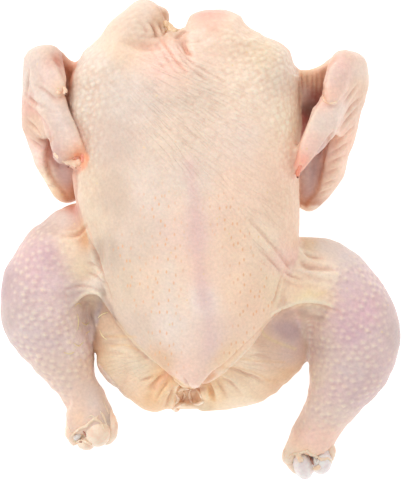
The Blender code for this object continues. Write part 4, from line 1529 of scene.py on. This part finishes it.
# %% Gristle material
FAT_CREAM = (0.86, 0.78, 0.66, 1)


def gristle_material(name, base, stain_and_shade):
    """Wet gristle: milky, clouded with a second colour, and a hard gloss."""
    made = plain_material(name, base, 0.3)
    g = Graph(made)
    cloud = g.window(g.noise(4).outputs["Fac"], 0.38, 0.66, 0.0, 0.8)
    tone = g.blend((*base, 1), (*stain_and_shade, 1), cloud)
    fine = g.window(g.noise(1.2).outputs["Fac"], 0.45, 0.75, 0.0, 0.25)
    clouded = g.blend(tone, FAT_CREAM, fine)
    sheen = g.window(g.noise(2.5, 2).outputs["Fac"], 0.3, 0.7, 0.22, 0.42)
    uneven = g.bump(g.noise(1.6).outputs["Fac"], 0.15)
    g.set(g.surface, Base_Color=clouded, Roughness=sheen, Normal=uneven)
    g.set(g.surface, Subsurface_Weight=0.2, Subsurface_Radius=(1.0, 0.5, 0.4), Subsurface_Scale=0.002)
    g.set(g.surface, Coat_Weight=0.3, Coat_Roughness=0.15)
    return made


print("gristle can be made in any two colours")

# %% [markdown]
# ## Knuckles of the legs
#
# The feet were cut off at the hock joint. The end of each shank bone shows there as two rounded
# knuckles, cream on the left leg and bluish white on the right. Each knuckle is a ball pressed into a
# copy of the bone and melted together with it by the remesh, which gives the soft cleft between them.

# %% Knuckles
BONE_GRAIN, BONE_ROUNDS = 0.6, 5
KNUCKLE_BALLS = {
    "left": [(97, 433, 1.2, 97, 424, 8.2, 9.2, 7.5, 12), (86, 445, -4.0, 88, 428, 5.6, 4.2, 6.0, 0)],
    "right": [(304, 467, 0.4, 304, 452, 6.0, 8.8, 8.0, 18), (323, 464, 0.2, 323, 452, 6.2, 7.4, 7.6, -14)],
}
KNUCKLE_COLOURS = {
    "left": ((248, 226, 202), (238, 204, 180)),
    "right": ((242, 234, 230), (226, 208, 210)),
}

for side, colours in KNUCKLE_COLOURS.items():
    balls = [
        ((*plan((column, row))[0], spot(c, r)[2] + over - high), (wide, long, high), tilt)
        for column, row, over, c, r, wide, long, high, tilt in KNUCKLE_BALLS[side]
    ]
    knuckle = fine_copy(side + "_knuckles", side + "_leg_bone", BONE_GRAIN, BONE_ROUNDS, balls)
    knuckle.data.materials.append(gristle_material(side + "_gristle", *map(linear, colours)))
    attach(knuckle, "root")
    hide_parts(side + "_leg_bone")
    print(knuckle.name, "has", len(knuckle.data.polygons), "faces")

# %% [markdown]
# ## A tool for torn tissue
#
# Where the bird was cut, thin things show. Each is a handful of short strands, thicker in the middle,
# melted together by a fine remesh as wet tissue is. A strand is a bevelled curve: its path, its radius
# and its height over the skin. A path of columns and rows is laid on whatever is on top. A third
# number, where a path has one, is the height above the table, for a strand that hangs free.

# %% Strand tool
STRAND_STEPS = 14
STRAND_WOBBLE = 0.25


def surface_tree(pieces):
    """One search tree over several pieces, to lay strands on whichever is on top."""
    corners, faces = [], []
    for piece in pieces:
        first = len(corners)
        corners += [piece.matrix_world @ corner.co for corner in piece.data.vertices]
        faces += [[first + i for i in face.vertices] for face in piece.data.polygons]
    return BVHTree.FromPolygons(corners, faces)


def strand_places(path, over):
    """Points along a strand: its path rounded, and laid on what is on top or at its own height."""
    grid = [(*plan(place[:2])[0], place[2] if len(place) > 2 else 0) for place in path]
    rows = smooth_curve(grid, STRAND_STEPS)
    if len(path[0]) > 2:
        return [(x, y, up + over) for x, y, up in rows]
    ground = [laid_point(x, y)[2] for x, y, _ in rows]
    met = [k for k, up in enumerate(ground) if up > 1]
    level = np.interp(range(len(rows)), met, [ground[k] for k in met])
    return [(x, y, up + over) for (x, y, _), up in zip(rows, level)]


def strands(name, ropes, grain, colour, stain_and_shade):
    """Strands of tissue in one piece. A rope is its path, its radius and its height over the skin."""
    line = bpy.data.curves.new(name, "CURVE")
    line.dimensions = "3D"
    line.bevel_depth = MM
    line.bevel_resolution = 3
    line.use_fill_caps = True
    for path, radius, over in ropes:
        places = strand_places(path, over)
        spline = line.splines.new("POLY")
        spline.points.add(len(places) - 1)
        for k, (point, place) in enumerate(zip(spline.points, places)):
            wobble = STRAND_WOBBLE * noise.noise(Vector(place) * 0.6)
            swell = 0.55 + 0.45 * math.sin(math.pi * (k + 0.5) / len(places))
            point.co = (*(Vector(place) * MM), 1)
            point.radius = radius * (1 + wobble) * swell
    tissue = bpy.data.objects.new(name, line)
    bpy.context.scene.collection.objects.link(tissue)
    graph = bpy.context.evaluated_depsgraph_get()
    made = bpy.data.objects.new(name, bpy.data.meshes.new_from_object(tissue.evaluated_get(graph)))
    bpy.data.objects.remove(tissue)
    made.name = name
    bpy.context.scene.collection.objects.link(made)
    even = made.modifiers.new("even", "REMESH")
    even.mode = "VOXEL"
    even.voxel_size = grain * MM
    smooth = made.modifiers.new("smooth", "SMOOTH")
    smooth.iterations = 3
    apply_modifiers(made)
    made.data.shade_smooth()
    made.data.materials.clear()
    made.data.materials.append(gristle_material(name + "_surface", linear(colour), linear(stain_and_shade)))
    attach(made, "root")
    print(name, "has", len(made.data.polygons), "faces")
    return made


tree = surface_tree(bpy.data.objects[name] for name in ("chicken_skin", "left_knuckles", "right_knuckles"))
print("strands can be laid on the skin and the knuckles")

# %% [markdown]
# ## Skin at the hocks
#
# The skin ends in a curled edge round each knuckle, with small crinkles above it. Below the edge it
# hangs as a thick cuff at the sides of the joint.

# %% Hock skin
LEFT_HOCK_EDGE = [
    (72, 437), (75, 433), (79, 430), (82, 428), (86, 427), (88, 425), (91, 422), (94, 420), (98, 421),
    (101, 423), (103, 427), (105, 432),
]
RIGHT_HOCK_EDGE = [
    (289, 460), (292, 456), (298, 454), (303, 454), (307, 451), (311, 455), (315, 456), (319, 459), (324, 461),
    (328, 459), (331, 461), (333, 464),
]
strands(
    "hock_skin_edges",
    [
        (LEFT_HOCK_EDGE, 1.1, 0.1), (RIGHT_HOCK_EDGE, 1.2, 0.1),
        ([(100, 412), (103, 416), (106, 422)], 0.8, 0.0),
        ([(72, 445), (77, 443), (81, 441)], 1.0, 0.6),
        ([(81, 441), (86, 443), (92, 446)], 1.0, 0.6), ([(298, 456), (301, 460), (302, 463)], 1.9, 0.4),
        ([(314, 470), (318, 469), (321, 467)], 1.7, 0.5), ([(103, 400), (106, 408), (109, 415)], 0.6, 0.0),
        ([(87, 419), (91, 416), (95, 418), (99, 416)], 0.6, 0.0),
        ([(102, 417), (106, 424), (108, 430)], 0.6, 0.0),
    ],
    grain=0.45, colour=(247, 225, 200), stain_and_shade=(236, 202, 170),
)
strands(
    "hock_skin_cuffs",
    [
        ([(71, 418, 20), (70, 428, 19), (71, 437, 18), (75, 446, 16)], 3.6, 0),
        ([(107, 410, 22), (111, 420, 22), (112, 430, 21), (110, 439, 19), (104, 444, 17)], 3.8, 0),
        ([(286, 450, 20), (288, 459, 20), (293, 467, 19), (299, 475, 17)], 3.0, 0),
        ([(330, 444, 22), (333, 452, 21), (332, 462, 19)], 2.8, 0),
    ],
    grain=0.8, colour=(250, 226, 202), stain_and_shade=(242, 204, 180),
)

# %% [markdown]
# The cut tendons are pale and shiny, and end beside the knuckles. The clefts between knuckle and skin are so
# deep and narrow that they lie in shade. A dark strand in each stands for that shade as painted shade, which is
# surer than a deeper dent.

# %% Tendons and clefts
strands(
    "tendon_ends",
    [
        ([(74, 440, 22), (77, 438, 23), (81, 434, 23)], 2.0, 0),
        ([(315, 457), (316, 461), (317, 465)], 0.9, 0.5),
        ([(320, 460), (319, 463), (318, 466)], 0.7, 0.5),
    ],
    grain=0.45, colour=(238, 230, 222), stain_and_shade=(214, 204, 200),
)
# Dark strands in the clefts: both their colours are painted shade.
strands(
    "dark_gaps",
    [
        ([(309, 456), (311, 459), (313, 463), (315, 466)], 0.9, 0.1),
        ([(295, 470, 18), (297, 473, 17), (299, 475, 16)], 0.7, 0),
        ([(83, 432), (85, 435), (86, 438)], 0.9, 0.2), ([(79, 443), (82, 443)], 0.6, 0.3),
        ([(318, 459), (319, 460)], 0.6, 0.5),
    ],
    grain=0.4, colour=(186, 130, 112), stain_and_shade=(156, 100, 86),
)

# %% [markdown]
# ## Tissue in the vent
#
# The open vent shows crumpled, torn tissue, pinkish and cream. A few strands across the pit are enough.

# %% Vent tissue
strands(
    "vent_tissue",
    [
        ([(178, 392), (181, 389), (187, 388), (192, 390)], 1.3, 0.3),
        ([(190, 391), (190, 397), (192, 403)], 1.2, 0.5),
        ([(176, 404), (178, 399), (176, 394)], 1.3, 0.5), ([(174, 408), (179, 405), (186, 404)], 1.3, 0.3),
        ([(196, 389), (200, 392), (202, 398)], 1.1, 0.3), ([(194, 404), (199, 404), (204, 401)], 1.3, 0.3),
        ([(184, 392), (185, 396), (183, 401)], 0.8, 0.6), ([(173, 409), (176, 411), (179, 410)], 1.4, 0.0),
    ],
    grain=0.45, colour=(252, 226, 198), stain_and_shade=(240, 196, 166),
)

# %% [markdown]
# ## Lining at the neck
#
# In the notch at the neck the inside of the skin is turned out, and shows its yellowish lining of fat.

# %% Neck lining
strands(
    "neck_lining",
    [
        ([(165, 22, 66.5), (168, 26, 67.5), (173, 29, 68)], 2.4, 0),
        ([(168, 31, 69), (173, 31, 69), (178, 31, 68.5)], 1.8, 0),
        ([(165, 37, 72.6), (170, 35, 72.2), (176, 33, 71), (181, 31, 69)], 1.5, 0),
    ],
    grain=0.8, colour=(238, 206, 164), stain_and_shade=(208, 154, 114),
)

# %% [markdown]
# ## Ends of the wings
#
# The tips of the wings are cut or worn: the end of the left hand is a ragged row of stumps, both
# hands are red at the tip, and the roots of the claws are small dark spots.

# %% Wing tips
strands(
    "wing_tip_edges",
    [
        ([(57, 152, 73), (58, 158, 72.5)], 1.6, 0), ([(60, 154, 73.5), (61, 161, 72.5)], 1.8, 0),
        ([(64, 157, 74), (65, 163, 72.5)], 1.7, 0), ([(68, 158, 73.5), (69, 165, 72)], 1.9, 0),
        ([(72, 159, 73.5), (73, 166, 72)], 1.7, 0), ([(76, 160, 74), (77, 167, 72)], 1.9, 0),
        ([(80, 159, 74.5), (81, 166, 73)], 1.8, 0), ([(65, 88, 73.5), (67, 92, 73), (65, 95, 72)], 1.4, 0),
        ([(58, 92, 72), (62, 95, 72)], 1.2, 0), ([(322, 96), (324, 101), (328, 104)], 0.9, 0.0),
        ([(328, 104), (333, 104), (337, 102)], 0.8, 0.0),
    ],
    grain=0.5, colour=(254, 220, 190), stain_and_shade=(248, 190, 156),
)
strands(
    "wing_tips",
    [
        ([(83, 152, 77), (85, 157, 76.5), (84, 163, 75.5)], 1.8, 0),
        ([(303, 160, 72), (299.5, 168, 72), (297.5, 174, 71.5), (297.5, 178, 71)], 1.5, 0),
    ],
    grain=0.5, colour=(246, 158, 128), stain_and_shade=(238, 124, 98),
)
strands(
    "claw_spots",
    [
        ([(69, 167, 72.5), (70, 168, 72)], 0.6, 0), ([(77, 168, 72.5), (77.5, 169, 72)], 0.6, 0),
        ([(82, 167, 73.5), (83, 168, 73)], 0.6, 0), ([(297, 177, 72.5), (298, 178.5, 71.5)], 0.7, 0),
        ([(67, 94, 74), (68, 95, 73)], 0.6, 0),
    ],
    grain=0.35, colour=(128, 70, 56), stain_and_shade=(110, 56, 46),
)

# %% [markdown]
# ## Loose threads
#
# Thin threads of torn skin cling to the left thigh and groin.

# %% Loose threads
strands(
    "loose_threads",
    [
        ([(78, 314), (79, 322), (78, 330)], 0.5, 0.2), ([(75, 307), (79, 303), (82, 306)], 0.45, 0.2),
        ([(82, 322), (86, 325), (90, 322)], 0.45, 0.2), ([(74, 343), (79, 346), (84, 342)], 0.5, 0.2),
        ([(64, 352), (70, 354), (75, 352)], 0.45, 0.2), ([(98, 318), (103, 314), (109, 312)], 0.5, 0.2),
        ([(100, 330), (103, 336), (108, 340)], 0.5, 0.2), ([(86, 334), (90, 331)], 0.45, 0.2),
    ],
    grain=0.35, colour=(246, 226, 178), stain_and_shade=(236, 204, 150),
)
